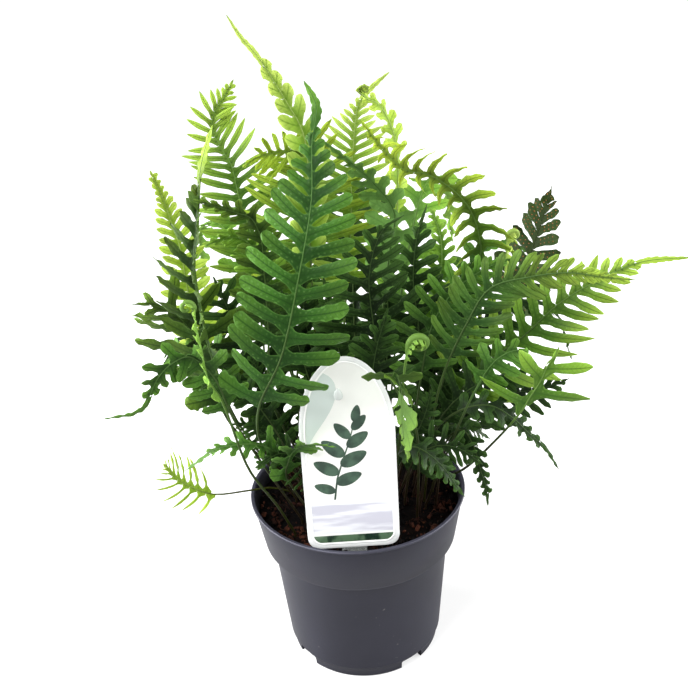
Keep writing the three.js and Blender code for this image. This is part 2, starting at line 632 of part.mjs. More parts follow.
// Stations along a frond, each with its point, its direction, its upper normal and its right side.
function layOut(frond, turnDeg) {
  const turn = turnOf(frond, turnDeg);
  const curve = ribCurve(frond, turn);
  const length = curve.getLength();
  const shares = [];
  const rings = Math.max(2, Math.round((frond.bare * length) / STALK_STEP));
  for (let ring = 0; ring <= rings; ring += 1) {
    shares.push((frond.bare - 3 / length) * (ring / rings));
  }
  const foot = shares.length;
  for (const mark of bladeMarks(frond.pairs)) {
    shares.push(frond.bare + (1 - frond.bare) * Math.min(mark, 1));
  }
  const stations = shares.map((share) => ({
    point: curve.getPointAt(Math.min(share, 1)),
    along: curve.getTangentAt(Math.min(share, 1)),
  }));
  const square = (normal, along) => normal.clone().addScaledVector(along, -normal.dot(along)).normalize();
  const face = new THREE.Vector3(...frond.face).applyQuaternion(turn);
  stations[foot].normal = square(face, stations[foot].along);
  for (let count = foot + 1; count < stations.length; count += 1) {
    stations[count].normal = square(stations[count - 1].normal, stations[count].along);
  }
  for (let count = foot - 1; count >= 0; count -= 1) {
    stations[count].normal = square(stations[count + 1].normal, stations[count].along);
  }
  for (const station of stations) {
    station.right = station.along.clone().cross(station.normal);
  }
  return { length, foot, stations };
}

function lobeLength(frond, share) {
  const swell = BASE_SHARE + (1 - BASE_SHARE) * Math.min(1, share / 0.2);
  const lobed = Math.min(1, share / (1 - (frond.tail ?? 0)));
  return frond.lobe * swell * (1 - lobed ** (frond.taper ?? 1.8));
}

// The five outline points of one lobe on the blade's middle surface, and the lobe's own normal.
function lobeOutline(frond, layout, pair, side, [bendDeg, reach], grow = 0) {
  const from = layout.stations[layout.foot + pair];
  const to = layout.stations[layout.foot + pair + 1];
  const share = (pair + 0.5) / frond.pairs;
  const seed = frond.name.length * 7 + pair * 2 + (side > 0 ? 1 : 0);
  const along = from.along.clone().add(to.along).normalize();
  const normal = from.normal.clone().add(to.normal).normalize();
  const out = along.clone().cross(normal).multiplyScalar(side);
  const pitch = from.point.distanceTo(to.point);
  const fold = (frond.fold ?? PLAIN_FOLD_DEG) + bendDeg;
  const lift = radians(fold + LIFT_SCATTER_DEG * (scatter(seed, 1) - 0.5));
  const outward = out.clone().multiplyScalar(Math.cos(lift)).addScaledVector(normal, Math.sin(lift));
  const over = normal.clone().multiplyScalar(Math.cos(lift)).addScaledVector(out, -Math.sin(lift));
  const lean = THREE.MathUtils.lerp(BASE_ANGLE_DEG, TIP_ANGLE_DEG, share);
  const angle = radians(lean + ANGLE_SCATTER_DEG * (scatter(seed, 2) - 0.5));
  const axis = along.clone().multiplyScalar(Math.cos(angle)).addScaledVector(outward, Math.sin(angle));
  const across = along.clone().multiplyScalar(Math.sin(angle)).addScaledVector(outward, -Math.cos(angle));
  const length = lobeLength(frond, share) * reach * (0.94 + 0.12 * scatter(seed, 3)) + grow;
  const half = pitch * (frond.slim ?? LOBE_WIDTH) + grow;
  const shift = LOBE_STAGGER * pitch * side;
  const middle = from.point.clone().add(to.point).multiplyScalar(0.5).addScaledVector(along, shift);
  const spine = (part) => middle
    .clone()
    .addScaledVector(axis, length * part)
    .addScaledVector(along, length * LOBE_SICKLE * part * part)
    .addScaledVector(over, -length * LOBE_ARCH * part * part);
  const wingOf = (station) => station.point
    .clone()
    .addScaledVector(station.along, shift)
    .addScaledVector(station.right, side * WING * (1 - 0.5 * share));
  const shoulder = length >= LONG_LOBE ? LOBE_SHOULDER : BLUNT_SHOULDER;
  return {
    length,
    over,
    foot: wingOf(from),
    low: spine(shoulder).addScaledVector(across, -half),
    tip: spine(1),
    high: spine(shoulder).addScaledVector(across, half),
    head: wingOf(to),
    neckLow: spine(LOBE_NECK).addScaledVector(across, -half),
    neckHigh: spine(LOBE_NECK).addScaledVector(across, half),
    side,
  };
}

// A lone lobe, grown by the room that it needs.
function lobeSolid(outline, thickness) {
  const shell = new Shell();
  const flipped = outline.side < 0;
  const ring = [outline.head, outline.high, outline.tip, outline.low, outline.foot];
  const lifted = (point, height) => point.clone().addScaledVector(outline.over, height);
  const level = (height) => ring.map((point) => shell.corner(lifted(point, height)));
  const top = level(thickness / 2);
  const bottom = level(-thickness / 2);
  for (let count = 1; count < 4; count += 1) {
    shell.face(top[0], top[count + 1], top[count], flipped);
    shell.face(bottom[0], bottom[count], bottom[count + 1], flipped);
  }
  for (let count = 0; count < 5; count += 1) {
    const next = (count + 1) % 5;
    shell.quad(top[count], top[next], bottom[next], bottom[count], flipped);
  }
  return shell.solid();
}

// A straight four sided bar from station to station.
function barSolid(from, to, halfWidth, halfHeight) {
  const shell = new Shell();
  const level = (station) => [[1, 1], [1, -1], [-1, -1], [-1, 1]].map(([wide, high]) => shell.corner(
    station.point.clone()
      .addScaledVector(station.right, wide * halfWidth)
      .addScaledVector(station.normal, high * halfHeight),
  ));
  const low = level(from);
  const high = level(to);
  shell.quad(low[3], low[2], low[1], low[0]);
  shell.quad(high[0], high[1], high[2], high[3]);
  for (let count = 0; count < 4; count += 1) {
    const next = (count + 1) % 4;
    shell.quad(low[count], low[next], high[next], high[count]);
  }
  return shell.solid();
}

function boxed(solid) {
  const { min, max } = solid.boundingBox();
  return { solid, min, max };
}

function apart(one, other) {
  for (let axis = 0; axis < 3; axis += 1) {
    if (one.min[axis] > other.max[axis] || other.min[axis] > one.max[axis]) {
      return true;
    }
  }
  const shared = one.solid.intersect(other.solid);
  const empty = shared.isEmpty();
  shared.delete();
  return empty;
}

function ribBars(layout, room) {
  const bars = [];
  for (let count = 0; count + 1 < layout.stations.length; count += 1) {
    const onBlade = count >= layout.foot;
    const halfWidth = (onBlade ? WING : STALK_RADIUS) + room;
    const halfHeight = (onBlade ? RIB_RISE : STALK_RADIUS) + room;
    bars.push(boxed(barSolid(layout.stations[count], layout.stations[count + 1], halfWidth, halfHeight)));
  }
  return bars;
}

// Each rib swings round its root until its own room is free of what stands already.
function placeRibs(fronds, fixed) {
  const taken = [...fixed];
  for (const frond of fronds) {
    const free = (turn) => ribBars(layOut(frond, turn), RIB_ROOM)
      .every((bar) => taken.every((other) => apart(bar, other)));
    const turn = TURNS_DEG.find(free) ?? TURNS_DEG[0];
    frond.layout = layOut(frond, turn);
    frond.bars = ribBars(frond.layout, 0.1);
    taken.push(...frond.bars);
  }
}

// The strap of a lobe without its root, where it joins its neighbours.
function pastNeck(outline) {
  return { ...outline, head: outline.neckHigh, foot: outline.neckLow };
}

// Each lobe bends up or down, and is the shorter for it, until it is clear of all other fronds and
// of its own frond's other lobes.
function placeLobes(fronds, fixed) {
  const taken = fixed.map((piece) => ({ piece, owner: null }));
  for (const frond of fronds) {
    taken.push(...frond.bars.map((piece) => ({ piece, owner: frond })));
  }
  for (const frond of fronds) {
    frond.bends = new Map();
    for (let pair = 0; pair < frond.pairs; pair += 1) {
      for (const side of [1, -1]) {
        const bend = freeBend(frond, pair, side, taken);
        frond.bends.set(`${pair},${side}`, bend);
        if (bend[1] > 0) {
          const outline = lobeOutline(frond, frond.layout, pair, side, bend);
          const strap = boxed(lobeSolid(pastNeck(outline), BLADE_THICKNESS));
          taken.push({ piece: boxed(lobeSolid(outline, BLADE_THICKNESS)), owner: frond, strap });
        }
      }
    }
  }
}

function freeBend(frond, pair, side, taken) {
  for (const bend of BENDS) {
    const outline = lobeOutline(frond, frond.layout, pair, side, bend, LOBE_ROOM);
    if (outline.length < NO_LOBE + LOBE_ROOM) {
      continue;
    }
    const own = pastNeck(lobeOutline(frond, frond.layout, pair, side, bend, OWN_LOBE_ROOM));
    const grown = boxed(lobeSolid(outline, BLADE_THICKNESS + 2 * LOBE_ROOM));
    const ownStrap = boxed(lobeSolid(own, BLADE_THICKNESS + 2 * OWN_LOBE_ROOM));
    const free = taken.every(({ piece, owner, strap }) => (
      owner === frond ? !strap || apart(ownStrap, strap) : apart(grown, piece)));
    grown.solid.delete();
    ownStrap.solid.delete();
    if (free) {
      return bend;
    }
  }
  return [0, 0];
}

// A frond's whole solid: stalk, rib and lobes in one skin.
function frondGeometry(frond) {
  const shell = new Shell();
  const { stations, foot } = frond.layout;
  const thickness = BLADE_THICKNESS / 2;
  const scale = frond.stalk ?? 1;
  const around = [[0, 1], [1, 0], [0, -1], [-1, 0]];
  const ringAt = (station, radius) => around.map(([wide, high]) => shell.corner(
    station.point.clone()
      .addScaledVector(station.right, wide * radius)
      .addScaledVector(station.normal, high * radius),
  ));
  const join = (low, high) => {
    for (let count = 0; count < 4; count += 1) {
      const next = (count + 1) % 4;
      shell.quad(low[count], low[next], high[next], high[count]);
    }
  };
  const first = stations[0];
  const rootEnd = {
    point: new THREE.Vector3(frond.at[0], frond.at[1], PEAT_TOP - ROOT_DEPTH),
    normal: new THREE.Vector3(first.normal.x, first.normal.y, 0).normalize(),
  };
  rootEnd.right = UP.clone().cross(rootEnd.normal);
  const collar = { point: first.point.clone(), normal: rootEnd.normal, right: rootEnd.right };
  let ring = ringAt(rootEnd, STALK_RADIUS * scale);
  shell.quad(ring[3], ring[2], ring[1], ring[0]);
  let next = ringAt(collar, STALK_RADIUS * scale);
  join(ring, next);
  ring = next;
  for (let count = 1; count < foot; count += 1) {
    const radius = THREE.MathUtils.lerp(STALK_RADIUS, STALK_END_RADIUS, count / foot) * scale;
    next = ringAt(stations[count], radius);
    join(ring, next);
    ring = next;
  }
  const last = stations.length - 1;
  const ridgeTop = [];
  const ridgeBottom = [];
  for (let count = foot; count <= last; count += 1) {
    const thinning = THREE.MathUtils.lerp(RIB_RISE, RIB_END_RISE, (count - foot) / (last - foot));
    const rise = count === last ? thickness : thinning;
    const station = stations[count];
    ridgeTop.push(shell.corner(station.point.clone().addScaledVector(station.normal, rise)));
    ridgeBottom.push(shell.corner(station.point.clone().addScaledVector(station.normal, -rise)));
  }
  const pairOf = (point, over) => [
    shell.corner(point.clone().addScaledVector(over, thickness)),
    shell.corner(point.clone().addScaledVector(over, -thickness)),
  ];
  const feet = {};
  for (const side of [1, -1]) {
    const flipped = side < 0;
    let lower = null;
    for (let pair = 0; pair < frond.pairs; pair += 1) {
      const bend = frond.bends.get(`${pair},${side}`);
      const outline = lobeOutline(frond, frond.layout, pair, side, bend);
      lower = lower ?? pairOf(outline.foot, stations[foot].normal);
      feet[side] = feet[side] ?? lower;
      const upper = pairOf(outline.head, stations[foot + pair + 1].normal);
      const edge = [upper];
      if (outline.length >= LONG_LOBE) {
        edge.push(pairOf(outline.high, outline.over), pairOf(outline.tip, outline.over));
        edge.push(pairOf(outline.low, outline.over));
      } else if (outline.length >= SHORT_LOBE) {
        edge.push(pairOf(outline.high, outline.over), pairOf(outline.low, outline.over));
      } else if (outline.length >= NO_LOBE) {
        edge.push(pairOf(outline.tip, outline.over));
      }
      edge.push(lower);
      skinLobe(shell, edge, [ridgeTop, ridgeBottom], pair, flipped);
      lower = upper;
    }
    const end = frond.pairs;
    shell.face(ridgeTop[end], lower[0], ridgeTop[end + 1], flipped);
    shell.face(ridgeBottom[end], ridgeBottom[end + 1], lower[1], flipped);
    shell.quad(ridgeTop[end + 1], lower[0], lower[1], ridgeBottom[end + 1], flipped);
  }
  for (const side of [1, -1]) {
    const flipped = side < 0;
    const edge = side > 0 ? ring[1] : ring[3];
    shell.quad(ring[0], edge, feet[side][0], ridgeTop[0], flipped);
    shell.face(edge, feet[side][1], feet[side][0], flipped);
    shell.quad(edge, ring[2], ridgeBottom[0], feet[side][1], flipped);
  }
  return shell.geometry();
}

// Upper face, lower face and edge of one lobe between two rib stations. The edge runs from the
// head of the lobe, round its tip, to its foot.
function skinLobe(shell, edge, [ridgeTop, ridgeBottom], pair, flipped) {
  const last = edge.length - 1;
  const put = (a, b, c) => {
    shell.face(a[0], b[0], c[0], flipped);
    shell.face(a[1], c[1], b[1], flipped);
  };
  const rib = (count) => [ridgeTop[count], ridgeBottom[count]];
  put(rib(pair), edge[0], rib(pair + 1));
  put(rib(pair), edge[last], edge[0]);
  if (last === 4) {
    put(edge[4], edge[1], edge[0]);
    put(edge[4], edge[3], edge[1]);
    put(edge[3], edge[2], edge[1]);
  } else if (last === 3) {
    put(edge[3], edge[1], edge[0]);
    put(edge[3], edge[2], edge[1]);
  } else if (last === 2) {
    put(edge[2], edge[1], edge[0]);
  }
  for (let count = 0; count < last; count += 1) {
    const [topA, bottomA] = edge[count];
    const [topB, bottomB] = edge[count + 1];
    shell.quad(topA, topB, bottomB, bottomA, flipped);
  }
}

function backFronds() {
  const rows = [];
  const spread = (BACK_LAST_DEG - BACK_FIRST_DEG) / (BACK_COUNT - 1);
  for (let count = 0; count < BACK_COUNT; count += 1) {
    const pick = ([low, high], salt) => THREE.MathUtils.lerp(low, high, scatter(count + BACK_SEED, salt));
    const bearing = radians(BACK_FIRST_DEG + spread * (count + 0.5 * (scatter(count, BACK_SEED) - 0.5)));
    const outward = new THREE.Vector3(Math.cos(bearing), Math.sin(bearing), 0);
    const root = pick(BACK_ROOT, 1);
    const reach = pick(BACK_REACH, 2);
    const rise = pick(BACK_RISE, 3) * THREE.MathUtils.lerp(BACK_SIDE_RISE, 1, outward.y);
    const rib = BACK_STEPS.map(([far, high]) => {
      const place = outward.clone().multiplyScalar(root + reach * far);
      return [place.x, place.y, PEAT_TOP + rise * high];
    });
    const at = outward.clone().multiplyScalar(root);
    rows.push({
      name: `frond_back_${count + 1}`,
      at: [at.x, at.y],
      bare: BACK_BARE,
      pairs: BACK_PAIRS,
      lobe: pick(BACK_LOBE, 4),
      face: [-0.5 * outward.x, -0.5 * outward.y, 1],
      green: ["dark", "mid", "light"][count % 3],
      rib,
    });
  }
  return rows;
}

function named(name, geometry, material) {
  const mesh = new THREE.Mesh(geometry, material);
  mesh.name = name;
  return mesh;
}

const fronds = [...FRONDS, ...backFronds()];
const pot = potGeometry();
const peat = peatGeometry(fronds);
const tag = tagGeometry();
const fixed = [boxed(solidOf(pot)), boxed(solidOf(tag))];
placeRibs(fronds, fixed);
placeLobes(fronds, [...fixed, boxed(solidOf(peat))]);

const fern = new THREE.Group();
fern.add(named("pot", pot, POT_PLASTIC));
fern.add(named("peat", peat, PEAT));
fern.add(named("plant_tag", tag, TAG_PLASTIC));
for (const frond of fronds) {
  fern.add(named(frond.name, frondGeometry(frond), GREENS[frond.green]));
}

export default fern;
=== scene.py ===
import math

import bpy
import numpy as np
from mathutils import Matrix, Vector, noise
from mathutils.kdtree import KDTree


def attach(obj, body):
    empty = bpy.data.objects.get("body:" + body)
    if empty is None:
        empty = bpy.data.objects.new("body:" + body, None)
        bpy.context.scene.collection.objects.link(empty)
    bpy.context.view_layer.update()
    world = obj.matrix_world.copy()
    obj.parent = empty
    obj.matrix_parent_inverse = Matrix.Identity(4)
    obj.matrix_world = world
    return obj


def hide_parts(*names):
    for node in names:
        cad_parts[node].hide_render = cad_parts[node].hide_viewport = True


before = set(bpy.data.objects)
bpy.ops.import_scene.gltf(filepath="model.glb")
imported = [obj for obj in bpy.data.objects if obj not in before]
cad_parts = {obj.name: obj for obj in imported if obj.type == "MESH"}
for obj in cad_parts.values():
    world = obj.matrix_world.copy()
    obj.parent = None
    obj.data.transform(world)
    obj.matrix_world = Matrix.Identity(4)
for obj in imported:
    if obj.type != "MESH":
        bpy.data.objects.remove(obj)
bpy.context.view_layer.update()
scene = bpy.context.scene

# Camera: it looks down on the pot from the front, rolled a little to the left, as a hand held
# camera would be. Its place comes from the ellipses of the rim, the collar step and the foot.
CAMERA_PITCH = math.radians(26.3)
CAMERA_ROLL = math.radians(-3.6)
CAMERA_TARGET = Vector((-0.003, 0, 0.202))
CAMERA_DISTANCE = 0.52
SENSOR_WIDTH = 36
FOCAL_PIXELS = 920
LONG_SIDE_PIXELS = 700

forward = Vector((0, math.cos(CAMERA_PITCH), -math.sin(CAMERA_PITCH)))
level = Vector((1, 0, 0))
upright = level.cross(forward)
right = math.cos(CAMERA_ROLL) * level + math.sin(CAMERA_ROLL) * upright
upward = math.cos(CAMERA_ROLL) * upright - math.sin(CAMERA_ROLL) * level
camera_data = bpy.data.cameras.new("camera")
camera_data.sensor_width = SENSOR_WIDTH
camera_data.lens = SENSOR_WIDTH * (FOCAL_PIXELS / LONG_SIDE_PIXELS)
camera_data.clip_start = 0.01
camera = bpy.data.objects.new("camera", camera_data)
scene.collection.objects.link(camera)
camera.matrix_world = Matrix.Translation(CAMERA_TARGET - CAMERA_DISTANCE * forward) @ Matrix(
    (right, upward, -forward)).transposed().to_4x4()
scene.camera = camera

# Studio: a dim white room that shows as pure white behind the part, one large soft lamp above on
# the left, a weaker one on the right and a low panel on each side, over a plain white floor.
ROOM_LIGHT = 0.26
WHITE = (1, 1, 1, 1)
LAMPS = [
    ("key_lamp", 36, 0.9, (-0.7, -0.6, 1.3), (0, 0, 0.2)),
    ("fill_lamp", 8, 0.8, (0.9, -0.4, 0.8), (0, 0, 0.15)),
    ("left_panel", 27, 0.7, (-0.9, 0.1, 0.3), (0, 0, 0.1)),
    ("right_panel", 15, 0.7, (0.9, 0.1, 0.3), (0, 0, 0.1)),
]
FLOOR_GREY = (0.36, 0.36, 0.36, 1)
FLOOR_GLOW = 0.14
FLOOR_SHOWN_GLOW = 0.6
FLOOR_FADE = (0.12, 0.35)
FLOOR_SIZE = 40
FLOOR_DROP = 0.0004


def wire(tree, made, **inputs):
    """Links or sets a node's inputs, by name or, for i0 and i1, by place."""
    for key, value in inputs.items():
        socket = made.inputs[int(key[1:]) if key[1:].isdigit() else key.replace("_", " ")]
        if isinstance(value, bpy.types.NodeSocket):
            tree.links.new(value, socket)
        else:
            socket.default_value = value


def node(tree, kind, settings=None, **inputs):
    """A shader node, with its settings and its inputs."""
    made = tree.nodes.new(kind)
    for key, value in (settings or {}).items():
        setattr(made, key, value)
    wire(tree, made, **inputs)
    return made


def ramp(tree, value, low, high, to_low=0.0, to_high=1.0):
    """A soft step from one value to another."""
    return node(tree, "ShaderNodeMapRange", {"interpolation_type": "SMOOTHSTEP", "clamp": True},
                i0=value, i1=low, i2=high, i3=to_low, i4=to_high).outputs[0]


def new_material(name, **plain):
    """A material with its tree and its shader, on which the values that are the same all over are set."""
    made = bpy.data.materials.new(name)
    made.use_nodes = True
    shader = made.node_tree.nodes["Principled BSDF"]
    wire(made.node_tree, shader, **plain)
    return made, made.node_tree, shader


def object_place(tree):
    return node(tree, "ShaderNodeTexCoord").outputs["Object"]


def length_of(tree, vector):
    return node(tree, "ShaderNodeVectorMath", {"operation": "LENGTH"}, i0=vector).outputs["Value"]


def seen_by_camera(tree):
    return node(tree, "ShaderNodeLightPath").outputs["Is Camera Ray"]


def clear_selection():
    if bpy.context.object and bpy.context.object.mode != "OBJECT":
        bpy.ops.object.mode_set(mode="OBJECT")
    bpy.ops.object.select_all(action="DESELECT")


scene.view_settings.view_transform = "Standard"
world = bpy.data.worlds.new("studio")
world.use_nodes = True
room = world.node_tree
brighter = node(room, "ShaderNodeMapRange", None, Value=seen_by_camera(room), To_Min=ROOM_LIGHT, To_Max=1)
wire(room, room.nodes["Background"], Color=WHITE, Strength=brighter.outputs[0])
scene.world = world
for name, watts, size, place, target in LAMPS:
    data = bpy.data.lights.new(name, "AREA")
    data.energy = watts
    data.size = size
    lamp = bpy.data.objects.new(name, data)
    scene.collection.objects.link(lamp)
    lamp.location = place
    lamp.rotation_euler = (Vector(target) - Vector(place)).to_track_quat("-Z", "Y").to_euler()

floor_material, tree, shader = new_material("studio_floor", Base_Color=FLOOR_GREY, Roughness=0.9,
                                            Specular_IOR_Level=0.1, Emission_Color=WHITE)
shown = ramp(tree, length_of(tree, object_place(tree)), *FLOOR_FADE, FLOOR_SHOWN_GLOW, 1)
glow = node(tree, "ShaderNodeMix", None, i0=seen_by_camera(tree), i2=FLOOR_GLOW, i3=shown)
wire(tree, shader, Emission_Strength=glow.outputs[0])
clear_selection()
bpy.ops.mesh.primitive_plane_add(size=FLOOR_SIZE, location=(0, 0, -FLOOR_DROP))
floor = bpy.context.object
floor.name = "studio_floor"
floor.data.materials.append(floor_material)

# Pot: thin black plastic, moulded in one piece. A straight collar stands out over a tapering body,
# and four notches for drainage are cut in the foot ring. It has a satin face with fine grain, paler
# bands round the collar step and the rim's top edge, and some specks of dust. Its inner wall above the
# peat is painted near black: painted shade inside the rim.
MM = 0.001
POT_SIDES = 128
POT_OUTSIDE = [
    (12.0, 0.0), (12.6, 4.0), (43.1, 4.0), (43.5, 0.0), (46.2, 0.0), (46.6, 0.5), (47.0, 6.6), (47.5, 7.3),
    (48.5, 8.2), (54.3, 76.6), (54.7, 77.8), (55.4, 78.1), (58.6, 78.5), (59.1, 79.1), (63.9, 108.0),
    (64.6, 108.5), (65.0, 109.0), (65.0, 109.6), (64.6, 110.0),
]
POT_INSIDE = [
    (63.2, 110.0), (62.7, 109.5), (57.7, 79.9), (53.3, 78.9), (47.2, 8.5), (45.2, 5.3), (4.0, 5.3),
]
NOTCH_SIZE = (12, 16, 6)
NOTCH_RADIUS = 46.5
NOTCH_MIDDLE = 2.5
NOTCH_TURNS = (-54, 36, 126, 216)
NOTCH_BEVEL = 1.4
POT_BLACK = (0.0065, 0.0068, 0.0125, 1)
POT_WORN = (0.0115, 0.0118, 0.0200, 1)
POT_PALE_BAND = (0.062, 0.062, 0.082, 1)
POT_DUST = (0.30, 0.28, 0.26, 1)
POT_GLOSS_TINT = (0.84, 0.83, 1, 1)
LIP_FOOT = (0.0775, 0.0785)
LIP_TOP = (0.0798, 0.0790)
RIM_EDGE = (0.1080, 0.1093)
# The inner wall above the peat, painted near black as shade inside the rim: where it lies and its colour.
WALL_SLOPE = 0.168
WALL_MIDDLE = 0.0448
WALL_BLUR = 0.0003
WALL_FOOT = (0.0802, 0.0806)
WALL_TOP = (0.1092, 0.1055)
INNER_WALL_SHADE = (0.0020, 0.0016, 0.0018, 1)


def math_node(tree, operation, first, second=0.0):
    return node(tree, "ShaderNodeMath", {"operation": operation}, i0=first, i1=second).outputs[0]


def times(tree, first, second):
    return math_node(tree, "MULTIPLY", first, second)


def plus(tree, first, second):
    return math_node(tree, "ADD", first, second)


def mix_colour(tree, share, first, second):
    return node(tree, "ShaderNodeMix", {"data_type": "RGBA", "clamp_factor": True},
                i0=share, i6=first, i7=second).outputs[2]


def speckle(tree, place, scale, detail=2.0, rough=0.5):
    return node(tree, "ShaderNodeTexNoise", None, Vector=place, Scale=scale, Detail=detail,
                Roughness=rough).outputs[0]


def mottle(tree, place, scale, detail, span, dark, bright):
    """Soft edged patches of one colour in another."""
    return mix_colour(tree, ramp(tree, speckle(tree, place, scale, detail), *span), dark, bright)


def height_of(tree, place):
    return node(tree, "ShaderNodeSeparateXYZ", None, i0=place).outputs[2]


def add_bump(tree, shader, height, strength, distance):
    bump = node(tree, "ShaderNodeBump", None, Strength=strength, Distance=distance, Height=height)
    wire(tree, shader, Normal=bump.outputs[0])


def finish_piece(piece, name, slot, *nodes_replaced):
    """Names a piece, rides it on the part, and hides the parts that it stands for. Its slot is not used."""
    piece.name = name
    piece.data.name = name
    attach(piece, "root")
    if nodes_replaced:
        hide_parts(*nodes_replaced)


def select_only(piece):
    clear_selection()
    piece.select_set(True)
    bpy.context.view_layer.objects.active = piece


def apply_modifier(piece, kind, **settings):
    select_only(piece)
    modifier = piece.modifiers.new("step", kind)
    for key, value in settings.items():
        setattr(modifier, key, value)
    bpy.ops.object.modifier_apply(modifier=modifier.name)


def smooth_by_angle(piece, degrees):
    select_only(piece)
    bpy.ops.object.shade_smooth_by_angle(angle=math.radians(degrees))


def close_shell():
    """Caps the ring that is selected, turns all faces outwards and leaves edit mode."""
    bpy.ops.mesh.edge_face_add()
    bpy.ops.mesh.select_all(action="SELECT")
    bpy.ops.mesh.normals_make_consistent(inside=False)
    bpy.ops.object.mode_set(mode="OBJECT")


def pull_rings(profile, start):
    """Extrudes the selected ring from step to step of a profile of (radius, height) in mm."""
    radius, height = start
    for next_radius, next_height in profile:
        bpy.ops.mesh.extrude_region_move(
            TRANSFORM_OT_translate={"value": (0, 0, (next_height - height) * MM)})
        share = next_radius / radius
        bpy.ops.transform.resize(value=(share, share, 1), center_override=(0, 0, next_height * MM))
        radius, height = next_radius, next_height


clear_selection()
bpy.ops.mesh.primitive_circle_add(vertices=POT_SIDES, radius=POT_OUTSIDE[0][0] * MM, fill_type="NGON",
                                  location=(0, 0, 0))
pot = bpy.context.object
bpy.ops.object.mode_set(mode="EDIT")
bpy.ops.mesh.select_all(action="SELECT")
bpy.ops.mesh.flip_normals()
bpy.ops.mesh.select_all(action="SELECT")
bpy.ops.mesh.region_to_loop()
pull_rings(POT_OUTSIDE[1:] + POT_INSIDE, POT_OUTSIDE[0])
close_shell()
for turn in NOTCH_TURNS:
    clear_selection()
    angle = math.radians(turn)
    place = (NOTCH_RADIUS * MM * math.cos(angle), NOTCH_RADIUS * MM * math.sin(angle), NOTCH_MIDDLE * MM)
    bpy.ops.mesh.primitive_cube_add(size=1, location=place, rotation=(0, 0, angle))
    cutter = bpy.context.object
    cutter.scale = [side * MM for side in NOTCH_SIZE]
    bpy.ops.object.transform_apply(location=True, rotation=True, scale=True)
    apply_modifier(cutter, "BEVEL", width=NOTCH_BEVEL * MM, segments=4)
    apply_modifier(pot, "BOOLEAN", operation="DIFFERENCE", object=cutter, solver="EXACT")
    bpy.data.objects.remove(cutter)
smooth_by_angle(pot, 32)

pot_material, tree, shader = new_material("pot_black_plastic", Specular_IOR_Level=0.36,
                                          Specular_Tint=POT_GLOSS_TINT)
place = object_place(tree)
height = height_of(tree, place)
clouds = speckle(tree, place, 22, 4)
tint = mix_colour(tree, ramp(tree, clouds, 0.35, 0.7), POT_BLACK, POT_WORN)
dusty_parts = ramp(tree, speckle(tree, place, 30, 2), 0.52, 0.7)
dust = times(tree, ramp(tree, speckle(tree, place, 420, 1), 0.735, 0.78), dusty_parts)
tint = mix_colour(tree, times(tree, dust, 0.35), tint, POT_DUST)
# Paler bands round the collar step and the rim's top edge.
lip = times(tree, ramp(tree, height, *LIP_FOOT), ramp(tree, height, *LIP_TOP))
edges = math_node(tree, "MAXIMUM", lip, ramp(tree, height, *RIM_EDGE))
tint = mix_colour(tree, times(tree, edges, 0.35), tint, POT_PALE_BAND)
# Painted shade: the inner wall above the peat turns near black, where shade falls inside the rim, and
# rougher.
across = node(tree, "ShaderNodeVectorMath", {"operation": "MULTIPLY"}, i0=place, i1=(1, 1, 0)).outputs[0]
upright_radius = math_node(tree, "SUBTRACT", length_of(tree, across), times(tree, height, WALL_SLOPE))
inner_wall = times(tree, ramp(tree, upright_radius, WALL_MIDDLE + WALL_BLUR, WALL_MIDDLE),
                   ramp(tree, height, *WALL_FOOT))
tint = mix_colour(tree, times(tree, inner_wall, ramp(tree, height, *WALL_TOP)), tint, INNER_WALL_SHADE)
satin = plus(tree, times(tree, clouds, 0.14), 0.36)
wire(tree, shader, Base_Color=tint, Roughness=plus(tree, times(tree, inner_wall, 0.3), satin))
add_bump(tree, shader, speckle(tree, place, 900, 3), 0.18, 0.00012)
pot.data.materials.append(pot_material)
finish_piece(pot, "pot_shell", "pot_plastic", "pot")

# Peat: one dark damp root ball that fills the pot to just under the rim. Its top is crumbly, with
# lumps, loose crumbs and brown fibres, and it is banked up a little against the pot's wall.
PEAT_TOP = 100
PEAT_BUMP = 1.6
PEAT_RADIUS = 60.2
PEAT_RINGS = 46
PEAT_SIDES = 160
PEAT_SIDE = [(60.2, 98.0), (57.0, 81.0), (52.6, 79.2), (46.6, 9.5), (44.4, 5.7)]
LUMP_HEIGHT = 1.4
CRUMB_HEIGHT = 1.2
BANK_FOOT = 49
BANK_HEIGHT = 4.2
CRUMB_COUNT = 1500
CRUMB_SEED = 11
CRUMB_SIZE = (0.5, 1.5)
CRUMB_LIFT = 0.25
FIBRE_COUNT = 130
FIBRE_WIDTH = (0.12, 0.16)
FIBRE_STEPS = 7
FIBRE_SIDES = 5
PEAT_SPECK_BROWN = (0.075, 0.030, 0.014, 1)


def peat_height(x, y):
    """Height of the top in mm: the same low mounds as the solid, with crumbs on them."""
    mounds = math.sin(x * 0.21 + 1.3) * math.cos(y * 0.17 - 0.4) + 0.6 * math.sin(x * 0.09 - y * 0.13)
    lumps = noise.fractal(Vector((x * 0.16, y * 0.16, 3.7)), 1.0, 2.1, 5)
    crumbs = noise.noise(Vector((x * 0.62, y * 0.62, 9.1)))
    bank = BANK_HEIGHT * max(0, (math.hypot(x, y) - BANK_FOOT) / (PEAT_RADIUS - BANK_FOOT)) ** 1.6
    return PEAT_TOP + PEAT_BUMP * 0.5 * mounds + LUMP_HEIGHT * lumps + CRUMB_HEIGHT * crumbs + bank


def random_spot(radius):
    """A spot on the peat, spread evenly over a disc."""
    reach = radius * math.sqrt(rng.random())
    angle = rng.random() * math.tau
    return reach * math.cos(angle), reach * math.sin(angle)


def shell_object(name, points, faces):
    """A mesh object from points in mm and faces."""
    data = bpy.data.meshes.new(name)
    data.from_pydata((np.asarray(points) * MM).tolist(), [], [list(map(int, face)) for face in faces])
    made = bpy.data.objects.new(name, data)
    scene.collection.objects.link(made)
    return made


